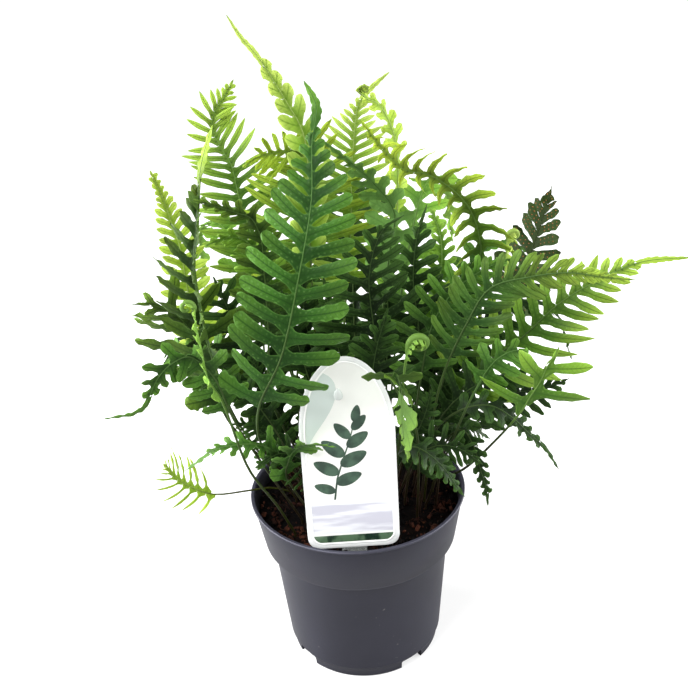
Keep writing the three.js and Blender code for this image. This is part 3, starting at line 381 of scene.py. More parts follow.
def tube(path, radius, sides):
    """Points and faces of a closed tube along a path."""
    path = np.asarray(path, float)
    along = np.gradient(path, axis=0)
    along /= np.linalg.norm(along, axis=1, keepdims=True)
    normal = np.cross(along[0], (0.3, 0.2, 0.93))
    points = []
    for place, way in zip(path, along):
        normal = normal - way * normal.dot(way)
        normal /= np.linalg.norm(normal)
        side = np.cross(way, normal)
        for count in range(sides):
            angle = math.tau * count / sides
            points.append(place + radius * (math.cos(angle) * normal + math.sin(angle) * side))
    rings = [list(range(step * sides, (step + 1) * sides)) for step in range(len(path))]
    faces = [rings[0][::-1], rings[-1]]
    for ring, after in zip(rings, rings[1:]):
        for count in range(sides):
            nxt = (count + 1) % sides
            faces.append([ring[count], ring[nxt], after[nxt], after[count]])
    return points, faces


def fibre_path():
    """A thin root that wanders over the top of the peat."""
    x, y = random_spot(PEAT_RADIUS - 6)
    heading = rng.random() * math.tau
    bend = rng.normal() * 0.25
    step_length = 0.5 + 1.0 * rng.random()
    path = []
    for step in range(FIBRE_STEPS):
        if math.hypot(x, y) > PEAT_RADIUS - 1.5:
            break
        lift = 0.35 + 0.8 * math.sin(math.pi * step / (FIBRE_STEPS - 1)) * rng.random()
        path.append((x, y, peat_height(x, y) + lift))
        x += step_length * math.cos(heading)
        y += step_length * math.sin(heading)
        heading += bend
    return path


clear_selection()
bpy.ops.mesh.primitive_circle_add(vertices=PEAT_SIDES, radius=PEAT_RADIUS * MM, fill_type="NOTHING",
                                  location=(0, 0, PEAT_TOP * MM))
peat = bpy.context.object
bpy.ops.object.mode_set(mode="EDIT")
bpy.ops.mesh.select_all(action="SELECT")
pull_rings([(PEAT_RADIUS * (1 - (step + 1) / (PEAT_RINGS + 1)), PEAT_TOP) for step in range(PEAT_RINGS)],
           (PEAT_RADIUS, PEAT_TOP))
bpy.ops.mesh.edge_face_add()
bpy.ops.mesh.poke()
bpy.ops.mesh.select_all(action="DESELECT")
bpy.ops.object.mode_set(mode="OBJECT")
for vertex in peat.data.vertices:
    if math.hypot(vertex.co.x, vertex.co.y) > (PEAT_RADIUS - 0.2) * MM:
        vertex.select = True
bpy.ops.object.mode_set(mode="EDIT")
pull_rings(PEAT_SIDE, (PEAT_RADIUS, PEAT_TOP))
close_shell()
for vertex in peat.data.vertices:
    if vertex.co.z > (PEAT_TOP - 0.5) * MM:
        vertex.co.z = peat_height(vertex.co.x / MM, vertex.co.y / MM) * MM
smooth_by_angle(peat, 60)

rng = np.random.default_rng(CRUMB_SEED)
bpy.ops.mesh.primitive_ico_sphere_add(subdivisions=1, radius=1)
seed_crumb = bpy.context.object
ball = np.array([v.co[:] for v in seed_crumb.data.vertices])
ball_faces = np.array([p.vertices[:] for p in seed_crumb.data.polygons])
bpy.data.objects.remove(seed_crumb)
crumb_points = []
for count in range(CRUMB_COUNT):
    x, y = random_spot(PEAT_RADIUS - 0.8)
    size = CRUMB_SIZE[0] + CRUMB_SIZE[1] * rng.random() ** 3
    stretch = 0.6 + 0.8 * rng.random(3)
    turn = Matrix.Rotation(rng.random() * math.tau, 3, Vector(rng.normal(size=3)).normalized())
    lumpy = ball * (1 + 0.3 * rng.normal(size=(len(ball), 1)))
    middle = (x, y, peat_height(x, y) + CRUMB_LIFT * size)
    crumb_points.append((lumpy * stretch * size) @ np.array(turn).T + middle)


def many_balls(name, balls):
    """One object from many copies of the small ball's points."""
    faces = [ball_faces + count * len(ball) for count in range(len(balls))]
    return shell_object(name, np.vstack(balls), np.vstack(faces))


crumbs = many_balls("peat_crumbs", crumb_points)
fibre_points, fibre_faces = [], []
for count in range(FIBRE_COUNT):
    path = fibre_path()
    if len(path) > 3:
        points, faces = tube(path, FIBRE_WIDTH[0] + FIBRE_WIDTH[1] * rng.random(), FIBRE_SIDES)
        fibre_faces += [[index + len(fibre_points) for index in face] for face in faces]
        fibre_points += points
fibres = shell_object("peat_fibres", fibre_points, fibre_faces)
smooth_by_angle(fibres, 60)


def start_group(name, inputs, outputs):
    """A shader node group, the sockets of its inputs, and the node that takes its outputs."""
    made = bpy.data.node_groups.new(name, "ShaderNodeTree")
    for way, sockets in (("INPUT", inputs), ("OUTPUT", outputs)):
        for socket, kind in sockets.items():
            made.interface.new_socket(name=socket, in_out=way, socket_type="NodeSocket" + kind)
    return made, made.nodes.new("NodeGroupInput").outputs, made.nodes.new("NodeGroupOutput")


crumble, given, result = start_group("peat_crumble", dict(Dark="Color", Brown="Color", Bits="Float"),
                                     dict(Colour="Color", Height="Float"))
fine = speckle(crumble, object_place(crumble), 420, 5, 0.65)
tint = mottle(crumble, object_place(crumble), 75, 4, (0.42, 0.72), given["Dark"], given["Brown"])
bits = times(crumble, ramp(crumble, fine, 0.60, 0.72), given["Bits"])
wire(crumble, result, Colour=mix_colour(crumble, bits, tint, PEAT_SPECK_BROWN), Height=fine)


def peat_material(name, dark, brown, bright_bits):
    made, tree, shader = new_material(name, Roughness=0.8, Specular_IOR_Level=0.06)
    crumbly = node(tree, "ShaderNodeGroup", {"node_tree": crumble}, Dark=(*dark, 1), Brown=(*brown, 1),
                   Bits=bright_bits).outputs
    wire(tree, shader, Base_Color=crumbly["Colour"])
    add_bump(tree, shader, crumbly["Height"], 0.9, 0.0006)
    return made


damp = peat_material("peat_damp", (0.0006, 0.0004, 0.0005), (0.0040, 0.0019, 0.0014), 0.3)
loose = peat_material("peat_loose", (0.0010, 0.0007, 0.0007), (0.050, 0.016, 0.009), 0.8)
fibrous = peat_material("peat_fibre", (0.012, 0.005, 0.003), (0.060, 0.022, 0.012), 0.5)
peat.data.materials.append(damp)
crumbs.data.materials.append(loose)
fibres.data.materials.append(fibrous)
finish_piece(peat, "peat_ball", "peat", "peat")
finish_piece(crumbs, "peat_crumbs", "peat")
finish_piece(fibres, "peat_fibres", "peat")

# Plant tag: one plate of white printed plastic with an arched top and a pointed spike, leaning back
# against the rim. A narrow margin round it is left clear, and a fine white bead runs round inside.
TAG_WIDTH = 51.0
TAG_HEIGHT = 115.0
TAG_ARCH = 44.0
TAG_CORNER = 8.0
TAG_THICKNESS = 0.8
TAG_FACE = TAG_THICKNESS / 2
TAG_SPIKE_WIDTH = 14.0
TAG_SPIKE_LENGTH = 22.0
TAG_SPIKE_POINT = 10.0
TAG_PLACE = (-4.0, -54.5, 106.5)
TAG_LEAN = math.radians(4.2)
TAG_MARGIN = 2.4
BEAD_SPAN = (0.15, 0.85)
BEAD_SINK = 0.1
BEAD_RISE = 0.22
FIELD_SINK = 0.04
PLASTIC_IOR = 1.45


def tag_to_world(points):
    """Places points (across, up, out of the printed face) of the tag in the part's frame, in mm."""
    lean_cos, lean_sin = math.cos(TAG_LEAN), math.sin(TAG_LEAN)
    across, up, out = np.asarray(points, float).T
    return np.column_stack((across + TAG_PLACE[0],
                            up * lean_sin - out * lean_cos + TAG_PLACE[1],
                            up * lean_cos + out * lean_sin + TAG_PLACE[2]))


def tag_edge(inset, arch_steps=40, corner_steps=8):
    """The tag's outline without its spike, moved inwards, from the lower right round to the left."""
    half = TAG_WIDTH / 2 - inset
    corner = TAG_CORNER - 0.4 * inset
    foot = []
    for step in range(corner_steps + 1):
        t = step / corner_steps
        foot.append(((1 - t) ** 2 * (half - corner) + 2 * t * (1 - t) * half + t * t * half,
                     inset + t * t * corner))
    arch = []
    for step in range(1, arch_steps + 1):
        angle = math.pi * step / arch_steps
        arch.append((half * math.cos(angle), TAG_HEIGHT - TAG_ARCH + (TAG_ARCH - inset) * math.sin(angle)))
    return foot + arch + [(-x, y) for x, y in foot[::-1]]


def tag_slab(name, outline, low, high):
    """A flat plate: an outline in the tag's own plane, from one height over its middle to another."""
    piece = shell_object(name, tag_to_world([(x, y, low) for x, y in outline]), [range(len(outline))])
    select_only(piece)
    foot, top = tag_to_world([(0, 0, low), (0, 0, high)])
    bpy.ops.object.mode_set(mode="EDIT")
    bpy.ops.mesh.select_all(action="SELECT")
    bpy.ops.mesh.extrude_region_move(TRANSFORM_OT_translate={"value": Vector(top - foot) * MM})
    bpy.ops.mesh.select_all(action="SELECT")
    bpy.ops.mesh.normals_make_consistent(inside=False)
    bpy.ops.object.mode_set(mode="OBJECT")
    return piece


def tag_band(name, outer_inset, inner_inset, low, high):
    """A closed band of the tag's plate that follows its edge between two insets."""
    outer, inner = tag_edge(outer_inset), tag_edge(inner_inset)
    count = len(outer)
    rings = [[(x, y, out) for x, y in ring] for ring, out in
             ((outer, high), (inner, high), (inner, low), (outer, low))]
    faces = []
    for ring in range(4):
        for step in range(count):
            after = (step + 1) % count
            a, b = ring * count, (ring + 1) % 4 * count
            faces.append((a + step, a + after, b + after, b + step))
    return shell_object(name, np.vstack([tag_to_world(ring) for ring in rings]), faces)


haze, given, result = start_group("plastic_haze", dict(Clean="Color", Dull="Color", Gloss="Float"),
                                  dict(Colour="Color", Roughness="Float"))
cloudy = speckle(haze, object_place(haze), 160, 3)
wire(haze, result, Colour=mix_colour(haze, times(haze, cloudy, 0.25), given["Clean"], given["Dull"]),
     Roughness=plus(haze, times(haze, cloudy, 0.12), given["Gloss"]))


def plastic(name, colour, gloss, through=0.0):
    """Hazy plastic of one colour that lets a share of the light through."""
    made, tree, shader = new_material(name, Transmission_Weight=through, IOR=PLASTIC_IOR)
    hazy = node(tree, "ShaderNodeGroup", {"node_tree": haze}, Clean=(*colour, 1),
                Dull=(*[0.86 * part for part in colour], 1), Gloss=gloss).outputs
    wire(tree, shader, Base_Color=hazy["Colour"], Roughness=hazy["Roughness"])
    return made


def finish_tag_piece(piece, material, *nodes_replaced):
    """Gives a piece of the tag its material and its own name."""
    piece.data.materials.append(material)
    finish_piece(piece, piece.name, "tag_plastic", *nodes_replaced)


margin = tag_band("tag_margin", 0, TAG_MARGIN, -TAG_FACE, TAG_FACE)
apply_modifier(margin, "BEVEL", width=0.12 * MM, segments=2)
smooth_by_angle(margin, 40)
finish_tag_piece(margin, plastic("tag_clear_plastic", (0.93, 0.95, 0.94), 0.12, 0.2), "plant_tag")
half = TAG_SPIKE_WIDTH / 2
shoulder = TAG_SPIKE_POINT - TAG_SPIKE_LENGTH
spike = tag_slab("tag_spike", [(0, -TAG_SPIKE_LENGTH), (half, shoulder), (half, 0.05), (-half, 0.05),
                               (-half, shoulder)], -TAG_FACE, TAG_FACE)
finish_tag_piece(spike, plastic("tag_spike_plastic", (0.78, 0.82, 0.80), 0.1, 0.85), "plant_tag")
tag_field = tag_slab("tag_field", tag_edge(TAG_MARGIN), -TAG_FACE + FIELD_SINK, TAG_FACE - FIELD_SINK)
finish_tag_piece(tag_field, plastic("tag_white_print", (0.84, 0.85, 0.81), 0.25), "plant_tag")
tag_bead = tag_band("tag_bead", TAG_MARGIN + BEAD_SPAN[0], TAG_MARGIN + BEAD_SPAN[1],
                    TAG_FACE - BEAD_SINK, TAG_FACE + BEAD_RISE)
apply_modifier(tag_bead, "BEVEL", width=0.16 * MM, segments=3)
smooth_by_angle(tag_bead, 60)
finish_tag_piece(tag_bead, plastic("tag_white_bead", (0.95, 0.96, 0.94), 0.16))

# Tag print and peg: a clear window that sweeps across the arch with a moulded drop in it, a sprig of
# oval leaves in dark green ink, a lilac grey band with soft pale strokes, and a green foot strip.
PRINT_LOW = TAG_FACE - 0.06
PRINT_HIGH = TAG_FACE - 0.01
FIELD_INSET = TAG_MARGIN + 1.0
BAND_SPAN = (9.5, 28.5)
BAND_FADE = (0.1338, 0.1352)
BAND_LILAC = (0.50, 0.50, 0.57, 1)
BAND_PALE = (0.70, 0.71, 0.75, 1)
BAND_WHITE = (0.88, 0.89, 0.87, 1)
FOOT_SPAN = (3.8, 8.2)
FOOT_DARK = (0.012, 0.030, 0.018, 1)
FOOT_GREEN = (0.085, 0.150, 0.085, 1)
INK_DARK = (0.016, 0.042, 0.026, 1)
INK_GREEN = (0.045, 0.098, 0.060, 1)
WINDOW_SPAN = (62, 106.5)
WINDOW_STEPS = 24
PEG_PLACE = (-3.5, 94)
PEG_SIZE = (2.3, 3.4, 1.0)
SPRIG_STEM = [(-9, 31), (-7, 44), (-3, 56), (1, 67), (4, 78)]
SPRIG_LEAVES = [(-8.4, 36, 158, 12), (-7.6, 41, 22, 15), (-6.0, 47, 150, 15), (-4.6, 52, 28, 16),
                (-2.6, 57.5, 140, 15), (-0.6, 63, 36, 14), (1.0, 68, 130, 12), (2.6, 73, 48, 11),
                (4, 77.5, 78, 10)]
LEAF_OUTLINE_STEPS = 24


def field_half(height):
    """Half the width of the printed field at a height of the tag."""
    top = TAG_HEIGHT - TAG_ARCH
    wide = TAG_WIDTH / 2 - FIELD_INSET
    if height <= top:
        return wide
    return wide * math.sqrt(max(0, 1 - ((height - top) / (TAG_ARCH - FIELD_INSET)) ** 2))


def across_field(low, high, steps=12):
    """A band across the whole field between two heights, with the tag's round corners at its foot."""
    def side(height):
        corner = TAG_CORNER - 2.5
        drop = max(0, FIELD_INSET + corner - height) / corner
        return field_half(height) - corner * (1 - math.sqrt(max(0, 1 - drop ** 2)))
    heights = [low + (high - low) * step / steps for step in range(steps + 1)]
    right = [(side(height), height) for height in heights]
    return right + [(-x, height) for x, height in right[::-1]]


def leaf_outline(x, y, heading, length):
    """An oval leaf with a pointed tip, from its foot."""
    turn = math.radians(heading)
    outline = []
    for step in range(LEAF_OUTLINE_STEPS):
        angle = math.tau * step / LEAF_OUTLINE_STEPS
        along = length * (0.5 - 0.5 * math.cos(angle))
        wide = 0.27 * length * math.sin(angle) * (1 - 0.35 * (along / length) ** 2)
        outline.append((x + along * math.cos(turn) - wide * math.sin(turn),
                        y + along * math.sin(turn) + wide * math.cos(turn)))
    return outline


def stem_outline(points, wide):
    """A stem that narrows from its foot to its tip."""
    reach = [wide * (1 - 0.6 * step / len(points)) for step in range(len(points))]
    right = [(x + more, y) for (x, y), more in zip(points, reach)]
    left = [(x - more, y) for (x, y), more in zip(points, reach)]
    return right + left[::-1]


def window_outline():
    """The window's left side follows the field, and its right side sweeps across the arch."""
    def height(share):
        return WINDOW_SPAN[0] + (WINDOW_SPAN[1] - WINDOW_SPAN[0]) * share
    shares = [step / WINDOW_STEPS for step in range(WINDOW_STEPS + 1)]
    outline = [(-field_half(height(share)) + 0.1, height(share)) for share in shares]
    for share in (1 - share for share in shares[1:]):
        bulge = 6.5 * math.sin(math.pi * share) ** 1.5
        edge = -field_half(height(share)) + 0.4 + (17 * share ** 1.6 + bulge) * (1 - share ** 7)
        outline.append((min(edge, field_half(height(share)) - 0.5), height(share)))
    return outline


def stretched_place(tree, scale):
    return node(tree, "ShaderNodeMapping", None, Vector=object_place(tree), Scale=scale).outputs[0]


leaves = [tag_slab(f"sprig_{count}", leaf_outline(*row), PRINT_LOW, PRINT_HIGH + 0.002 * count)
          for count, row in enumerate(SPRIG_LEAVES)]
stem = tag_slab("sprig_stem", stem_outline(SPRIG_STEM, 0.55), PRINT_LOW, PRINT_HIGH + 0.03)
clear_selection()
for piece in leaves + [stem]:
    piece.select_set(True)
sprig = leaves[0]
bpy.context.view_layer.objects.active = sprig
bpy.ops.object.join()
sprig.name = "tag_sprig_print"
ink, tree, shader = new_material("tag_green_ink", Roughness=0.3)
wire(tree, shader, Base_Color=mottle(tree, object_place(tree), 140, 4, (0.35, 0.65), INK_DARK, INK_GREEN))
finish_tag_piece(sprig, ink)

band = tag_slab("tag_band_print", across_field(*BAND_SPAN), PRINT_LOW, PRINT_HIGH - 0.01)
lilac, tree, shader = new_material("tag_lilac_wash", Roughness=0.25)
strokes = speckle(tree, stretched_place(tree, (26, 26, 190)), 1, 3, 0.45)
tint = mix_colour(tree, ramp(tree, strokes, 0.44, 0.60), BAND_LILAC, BAND_PALE)
fade = ramp(tree, height_of(tree, object_place(tree)), *BAND_FADE)
wire(tree, shader, Base_Color=mix_colour(tree, fade, tint, BAND_WHITE))
finish_tag_piece(band, lilac)

foot_strip = tag_slab("tag_foot_print", across_field(*FOOT_SPAN), PRINT_LOW, PRINT_HIGH)
foot_green, tree, shader = new_material("tag_foot_green", Roughness=0.12, Coat_Weight=0.4)
streaks = mottle(tree, stretched_place(tree, (120, 120, 60)), 1, 3, (0.45, 0.6), FOOT_DARK, FOOT_GREEN)
wire(tree, shader, Base_Color=streaks)
finish_tag_piece(foot_strip, foot_green)

window = tag_slab("tag_window", window_outline(), PRINT_LOW, PRINT_HIGH - 0.005)
finish_tag_piece(window, plastic("tag_window_plastic", (0.60, 0.68, 0.64), 0.1))

clear_selection()
peg_middle = Vector(tag_to_world([(*PEG_PLACE, TAG_FACE)])[0]) * MM
bpy.ops.mesh.primitive_uv_sphere_add(segments=32, ring_count=16, radius=MM, location=peg_middle,
                                     rotation=(math.pi / 2 - TAG_LEAN, 0, 0))
peg = bpy.context.object
peg.scale = PEG_SIZE
bpy.ops.object.transform_apply(location=True, rotation=True, scale=True)
for vertex in peg.data.vertices:
    rise = (vertex.co.z - peg_middle.z) / (PEG_SIZE[1] * MM)
    vertex.co.x = peg_middle.x + (vertex.co.x - peg_middle.x) * (1 - 0.35 * rise)
smooth_by_angle(peg, 60)
peg.name = "tag_peg"
finish_tag_piece(peg, plastic("tag_peg_plastic", (0.86, 0.91, 0.89), 0.08, 0.3))

# Fronds: each is a thin stalk that stands in the peat and runs on as the rib of a leathery blade,
# cut into strap shaped lobes. The rows repeat the solids' own values in mm: where it stands, its
# bare share, pairs of lobes, longest lobe, the way its upper face looks, green, and the rib's points.
def frond_row(name, at, bare, pairs, lobe, face, green, *rib, **own):
    """A frond's values, with what most fronds share filled in."""
    usual = dict(slim=0.31, taper=1.8, tail=0, fold=6, stalk=1)
    return dict(usual, name=name, at=at, bare=bare, pairs=pairs, lobe=lobe, face=face, green=green,
                rib=rib, **own)


FRONDS = [
    frond_row("frond_front_tall", (-28, 8), 0.42, 18, 31, (0, -1, 0.35), "mid", (-44, -5, 126),
        (-52, -28, 159), (-48, -56, 201), (-34, -62, 231), (-22, -58, 272), (-14, -45, 304), (-12, -30, 328),
        (-9, -22, 343), (-14, -16, 354), slim=0.36, taper=2.1, tail=0.15),
    frond_row("frond_tag_right", (34, -24), 0.62, 6, 17, (0, 1, 0.3), "mid", (35, -30, 142), (33, -38, 172),
        (20, -52, 210), (22, -61, 217), (24, -68, 209), (24, -71, 193), (26, -70, 170), slim=0.3, taper=3),
    frond_row("frond_tag_left", (-22, -32), 0.45, 5, 12, (0, -0.7, 0.7), "mid", (-39, -40, 146),
        (-37, -46, 159), (-33, -52, 170), (-26, -58, 177), (-18, -61, 178), (-10, -62, 177), slim=0.33,
        taper=3),
    frond_row("frond_right_young", (52, 11), 0.66, 4, 29, (0, -0.95, 0.3), "light", (64, 0, 116),
        (81, -22, 151), (91, -38, 178), (94, -43, 189), (98, -48, 201), (100, -50, 209), (103, -52, 216),
        (105, -54, 223), slim=0.3, taper=5),
    frond_row("frond_left_dark", (-38, 0), 0.38, 14, 29, (-0.78, -0.62, 0.1), "dark", (-68, -2, 162),
        (-77, -8, 211), (-78, -16, 245), (-77, -22, 268), (-73, -24, 285), (-71, -22, 298), (-69, -18, 311),
        (-67, -13, 319), (-64, -9, 327), (-61, -7, 334), slim=0.28, tail=0.18, fold=38),
    frond_row("frond_right_bright", (40, -8), 0.45, 15, 22, (0, -0.8, 0.6), "light", (44, -10, 145),
        (50, -16, 187), (63, -25, 226), (74, -32, 248), (92, -40, 256), (111, -45, 259), (125, -48, 257),
        (142, -50, 255), slim=0.27, taper=1.3, tail=0.08),
    frond_row("frond_right_far", (46, 2), 0.32, 16, 26, (-0.1, -0.7, 0.7), "mid", (52, 0, 135), (57, -1, 160),
        (73, -8, 189), (94, -14, 209), (114, -18, 231), (134, -20, 244), (154, -20, 252), (181, -20, 253),
        slim=0.28, taper=1.4, tail=0.2),
    frond_row("frond_right_olive", (38, 14), 0.42, 18, 21, (0.2, -0.8, 0.5), "light", (40, 14, 145),
        (52, 8, 201), (74, 4, 250), (73, 0, 265), (69, -3, 278), (63, -6, 288), (54, -8, 297), (45, -10, 303),
        (33, -12, 307), (25, -12, 315), (18, -12, 324), (12, -12, 333), slim=0.24, taper=1.8, fold=14),
    frond_row("frond_back_spire", (-12, 20), 0.5, 13, 11, (0.2, -1, 0.3), "yellow", (-16, 18, 140),
        (-19, 15, 200), (-18, 16, 269), (-17, 18, 320), (-25, 20, 338), (-38, 20, 362), (-45, 20, 371),
        (-51, 20, 382), slim=0.36, taper=2.5, tail=0.26),
    frond_row("frond_top_light", (4, 34), 0.48, 16, 26, (0.1, -0.9, 0.4), "yellow", (-6, 38, 148),
        (0, 50, 211), (6, 60, 258), (8, 68, 286), (10, 72, 300), (12, 75, 313), (14, 76, 322), (18, 76, 328),
        (25, 76, 334), (33, 76, 340), slim=0.25, taper=3, tail=0.2),
    frond_row("frond_top_hook", (24, 32), 0.62, 11, 10, (0.6, -0.5, 0.6), "light", (14, 36, 148),
        (25, 42, 213), (32, 46, 261), (34, 48, 290), (33, 47, 307), (30, 45, 318), (24, 42, 329),
        (18, 39, 333), (14, 37, 337), coil=(3.2, 1.1)),
    frond_row("frond_left_low", (-42, 14), 0.45, 6, 34, (0, -0.75, 0.65), "dark", (-73, 8, 153),
        (-81, 6, 182), (-85, 3, 205), (-88, -2, 223), (-96, -6, 235), (-106, -9, 241), (-115, -10, 242),
        slim=0.26, taper=3),
    frond_row("frond_left_pale", (-30, 30), 0.42, 13, 21, (0.1, -0.95, 0.2), "yellow", (-74, 30, 136),
        (-86, 36, 197), (-93, 40, 228), (-94, 41, 253), (-97, 41, 270), (-99, 38, 284), (-101, 34, 295),
        (-103, 32, 303), slim=0.28, taper=1.4),
    frond_row("frond_left_tail", (-34, -22), 0.45, 12, 15, (-0.1, -0.6, 0.8), "mid", (-65, -25, 172),
        (-74, -30, 207), (-84, -33, 220), (-93, -35, 218), (-101, -36, 211), (-106, -37, 203),
        (-111, -37, 194), (-118, -37, 190), (-126, -37, 189), (-134, -37, 188), slim=0.3, taper=2, tail=0.28),
    frond_row("crozier_left", (-38, -34), 0.6, 9, 8, (-1, -0.3, 0.1), "yellow", (-46, -41, 128),
        (-58, -49, 158), (-67, -54, 204), (-72, -57, 219), (-73, -58, 236), (-74, -58, 249), (-74, -58, 259),
        fold=24, coil=(3.4, 0.9)),
    frond_row("frond_right_tail", (36, -18), 0.5, 10, 12, (0, -0.5, 0.9), "dark", (41, -14, 154),
        (55, -16, 171), (70, -18, 176), (82, -20, 171), (94, -22, 161), (103, -24, 154), (112, -25, 141),
        slim=0.3, taper=1.6, tail=0.28),
    frond_row("frond_middle_broad", (10, -4), 0.42, 12, 34, (0.1, -0.9, 0.4), "dark", (15, -5, 140),
        (18, -6, 170), (14, -10, 218), (13, -15, 255), (21, -15, 277), (32, -15, 284), tail=0.06),
    frond_row("frond_middle_right", (30, 6), 0.42, 11, 27, (0, -0.9, 0.4), "dark", (36, 9, 140),
        (41, 11, 165), (45, 11, 207), (44, 12, 237), (48, 15, 262), (55, 20, 278), tail=0.06),
    frond_row("frond_middle_fan", (28, -10), 0.48, 11, 25, (0, -0.9, 0.4), "mid", (34, -9, 145),
        (39, -7, 182), (47, -10, 221), (60, -12, 241), (75, -14, 252), (88, -15, 257), slim=0.29),
    frond_row("crozier_middle", (20, -22), 0.72, 13, 6, (1, 0, 0), "yellow", (23, -25, 140), (26, -29, 170),
        (28, -37, 205), (31, -41, 224), fold=30, coil=(4.8, 1.6)),
    frond_row("frond_rim_left", (-40, 7), 0.58, 8, 18, (0, -0.6, 0.8), "light", (-53, 0, 112), (-65, -6, 115),
        (-85, -15, 120), (-97, -18, 128), (-104, -20, 136), (-110, -22, 148), slim=0.18, taper=2.6,
        stalk=0.8),
    frond_row("frond_backleft_light", (-20, 38), 0.48, 18, 28, (0.2, -0.95, 0.2), "yellow", (-49, 38, 137),
        (-52, 44, 197), (-53, 50, 234), (-54, 54, 257), (-58, 58, 271), (-60, 62, 283), (-62, 65, 295),
        (-67, 68, 304), (-71, 70, 315), (-69, 71, 324), (-62, 71, 333), (-56, 71, 342), slim=0.25, taper=2.6),
    frond_row("frond_backleft_arch", (-6, 28), 0.5, 12, 24, (0, -0.5, 0.85), "dark", (-33, 32, 139),
        (-24, 40, 217), (-20, 50, 263), (-18, 56, 291), (-22, 54, 303), (-30, 47, 305), (-38, 40, 306),
        (-46, 34, 305), (-52, 30, 302), slim=0.27, fold=14),
    frond_row("frond_left_olive", (-18, -4), 0.52, 12, 23, (0.1, -0.9, 0.4), "mid", (-46, -4, 175),
        (-44, -6, 220), (-43, -9, 257), (-43, -12, 277), (-47, -14, 288), (-53, -17, 292), (-60, -20, 296),
        (-68, -23, 300), (-74, -25, 303), taper=1.1),
    frond_row("frond_left_inner", (-26, 20), 0.52, 9, 20, (0, -0.8, 0.6), "light", (-33, 21, 165),
        (-38, 22, 207), (-44, 14, 243), (-50, 6, 266), (-58, 0, 273), (-72, -8, 272)),
    frond_row("frond_middle_dark", (20, 12), 0.55, 10, 18, (0.4, 0.7, 0.6), "dark", (21, 15, 160),
        (20, 18, 208), (26, 20, 252), (29, 18, 275), (18, 12, 294), (5, 5, 309), (-7, 0, 321), tail=0.1),
    frond_row("frond_middle_fine", (44, 28), 0.6, 11, 11, (0, -1, 0.3), "light", (48, 30, 160), (53, 32, 215),
        (57, 34, 240), (56, 38, 256), (51, 42, 269)),
    frond_row("frond_right_spore", (42, 38), 0.6, 9, 21, (-0.1, 0.95, 0.3), "dark", (50, 40, 128),
        (75, 46, 167), (96, 56, 195), (108, 64, 211), (116, 70, 224), (122, 75, 238), (127, 79, 252),
        (131, 82, 265), slim=0.33, taper=1.6),
    frond_row("crozier_right", (44, 20), 0.75, 9, 7, (1, 0, 0.2), "yellow", (72, 20, 167), (87, 16, 207),
        (89, 10, 231), (89, 6, 247), (89, 4, 257), (89, 3, 263), fold=30, coil=(3.2, 1)),
    frond_row("frond_right_small", (40, -15), 0.68, 5, 16, (0, -0.6, 0.8), "light", (49, -17, 150),
        (58, -19, 190), (67, -24, 215), (77, -28, 224), (86, -32, 220)),
    frond_row("frond_right_under", (50, 20), 0.28, 10, 28, (0, -0.9, 0.45), "dark", (60, 20, 130),
        (68, 18, 148), (82, 17, 158), (97, 15, 162), (110, 12, 166), (125, 9, 174), slim=0.3),
    frond_row("frond_rim_front", (14, -24), 0.5, 9, 11, (0, -0.3, 1), "dark", (21, -36, 148), (26, -40, 158),
        (32, -43, 162), (40, -46, 158), (48, -48, 149), (53, -50, 141), (58, -51, 133), tail=0.1),
    frond_row("frond_rim_right", (46, -14), 0.45, 9, 9, (0.3, -0.3, 0.9), "dark", (53, -16, 148),
        (61, -22, 157), (66, -27, 149), (69, -31, 136), (72, -33, 124), (73, -34, 112), tail=0.1),
    frond_row("frond_low_right", (28, -2), 0.3, 10, 22, (0, -0.5, 0.9), "dark", (36, 0, 124), (46, 4, 138),
        (58, 8, 143), (70, 12, 139), (84, 17, 126), slim=0.26, tail=0.1),
    frond_row("frond_low_left", (-20, -14), 0.4, 11, 15, (0, -0.35, 1), "dark", (-36, -32, 150),
        (-48, -40, 170), (-62, -42, 173), (-73, -43, 172), (-81, -43, 167), (-91, -42, 160), slim=0.27,
        taper=1.6, tail=0.25),
    frond_row("frond_inner_left", (-30, -10), 0.35, 9, 25, (0, -0.6, 0.8), "dark", (-39, -10, 140),
        (-50, -10, 168), (-62, -10, 186), (-74, -11, 194), (-86, -13, 188), slim=0.27),
    frond_row("frond_inner_low_left", (-14, -20), 0.4, 9, 17, (0, -0.6, 0.8), "dark", (-22, -26, 132),
        (-33, -33, 154), (-46, -38, 164), (-60, -42, 160), slim=0.27),
    frond_row("frond_inner_middle", (4, -16), 0.35, 9, 27, (0, -0.9, 0.4), "dark", (6, -20, 140),
        (9, -25, 180), (14, -29, 215), (21, -31, 240)),
    frond_row("frond_inner_right", (34, -2), 0.35, 9, 25, (0, -0.7, 0.7), "dark", (41, -4, 145),
        (52, -6, 170), (66, -8, 185), (80, -10, 191), (94, -12, 186)),
    frond_row("frond_inner_low_right", (22, -12), 0.35, 9, 19, (0, -0.6, 0.8), "dark", (28, -16, 122),
        (36, -22, 143), (48, -27, 153), (60, -30, 152), (72, -31, 142), slim=0.27),
]
BACK_COUNT = 8
BACK_FIRST_DEG = 18
BACK_LAST_DEG = 166
BACK_ROOT = (33, 41)
BACK_REACH = (78, 122)
BACK_RISE = (105, 190)
BACK_SIDE_RISE = 0.55
BACK_LOBE = (22, 30)
BACK_PAIRS = 9
BACK_BARE = 0.3
BACK_STEPS = [(0.1, 0.35), (0.32, 0.75), (0.62, 1), (0.85, 0.98), (1, 0.7)]
BACK_SEED = 3
BACK_DENSITY = 1.5

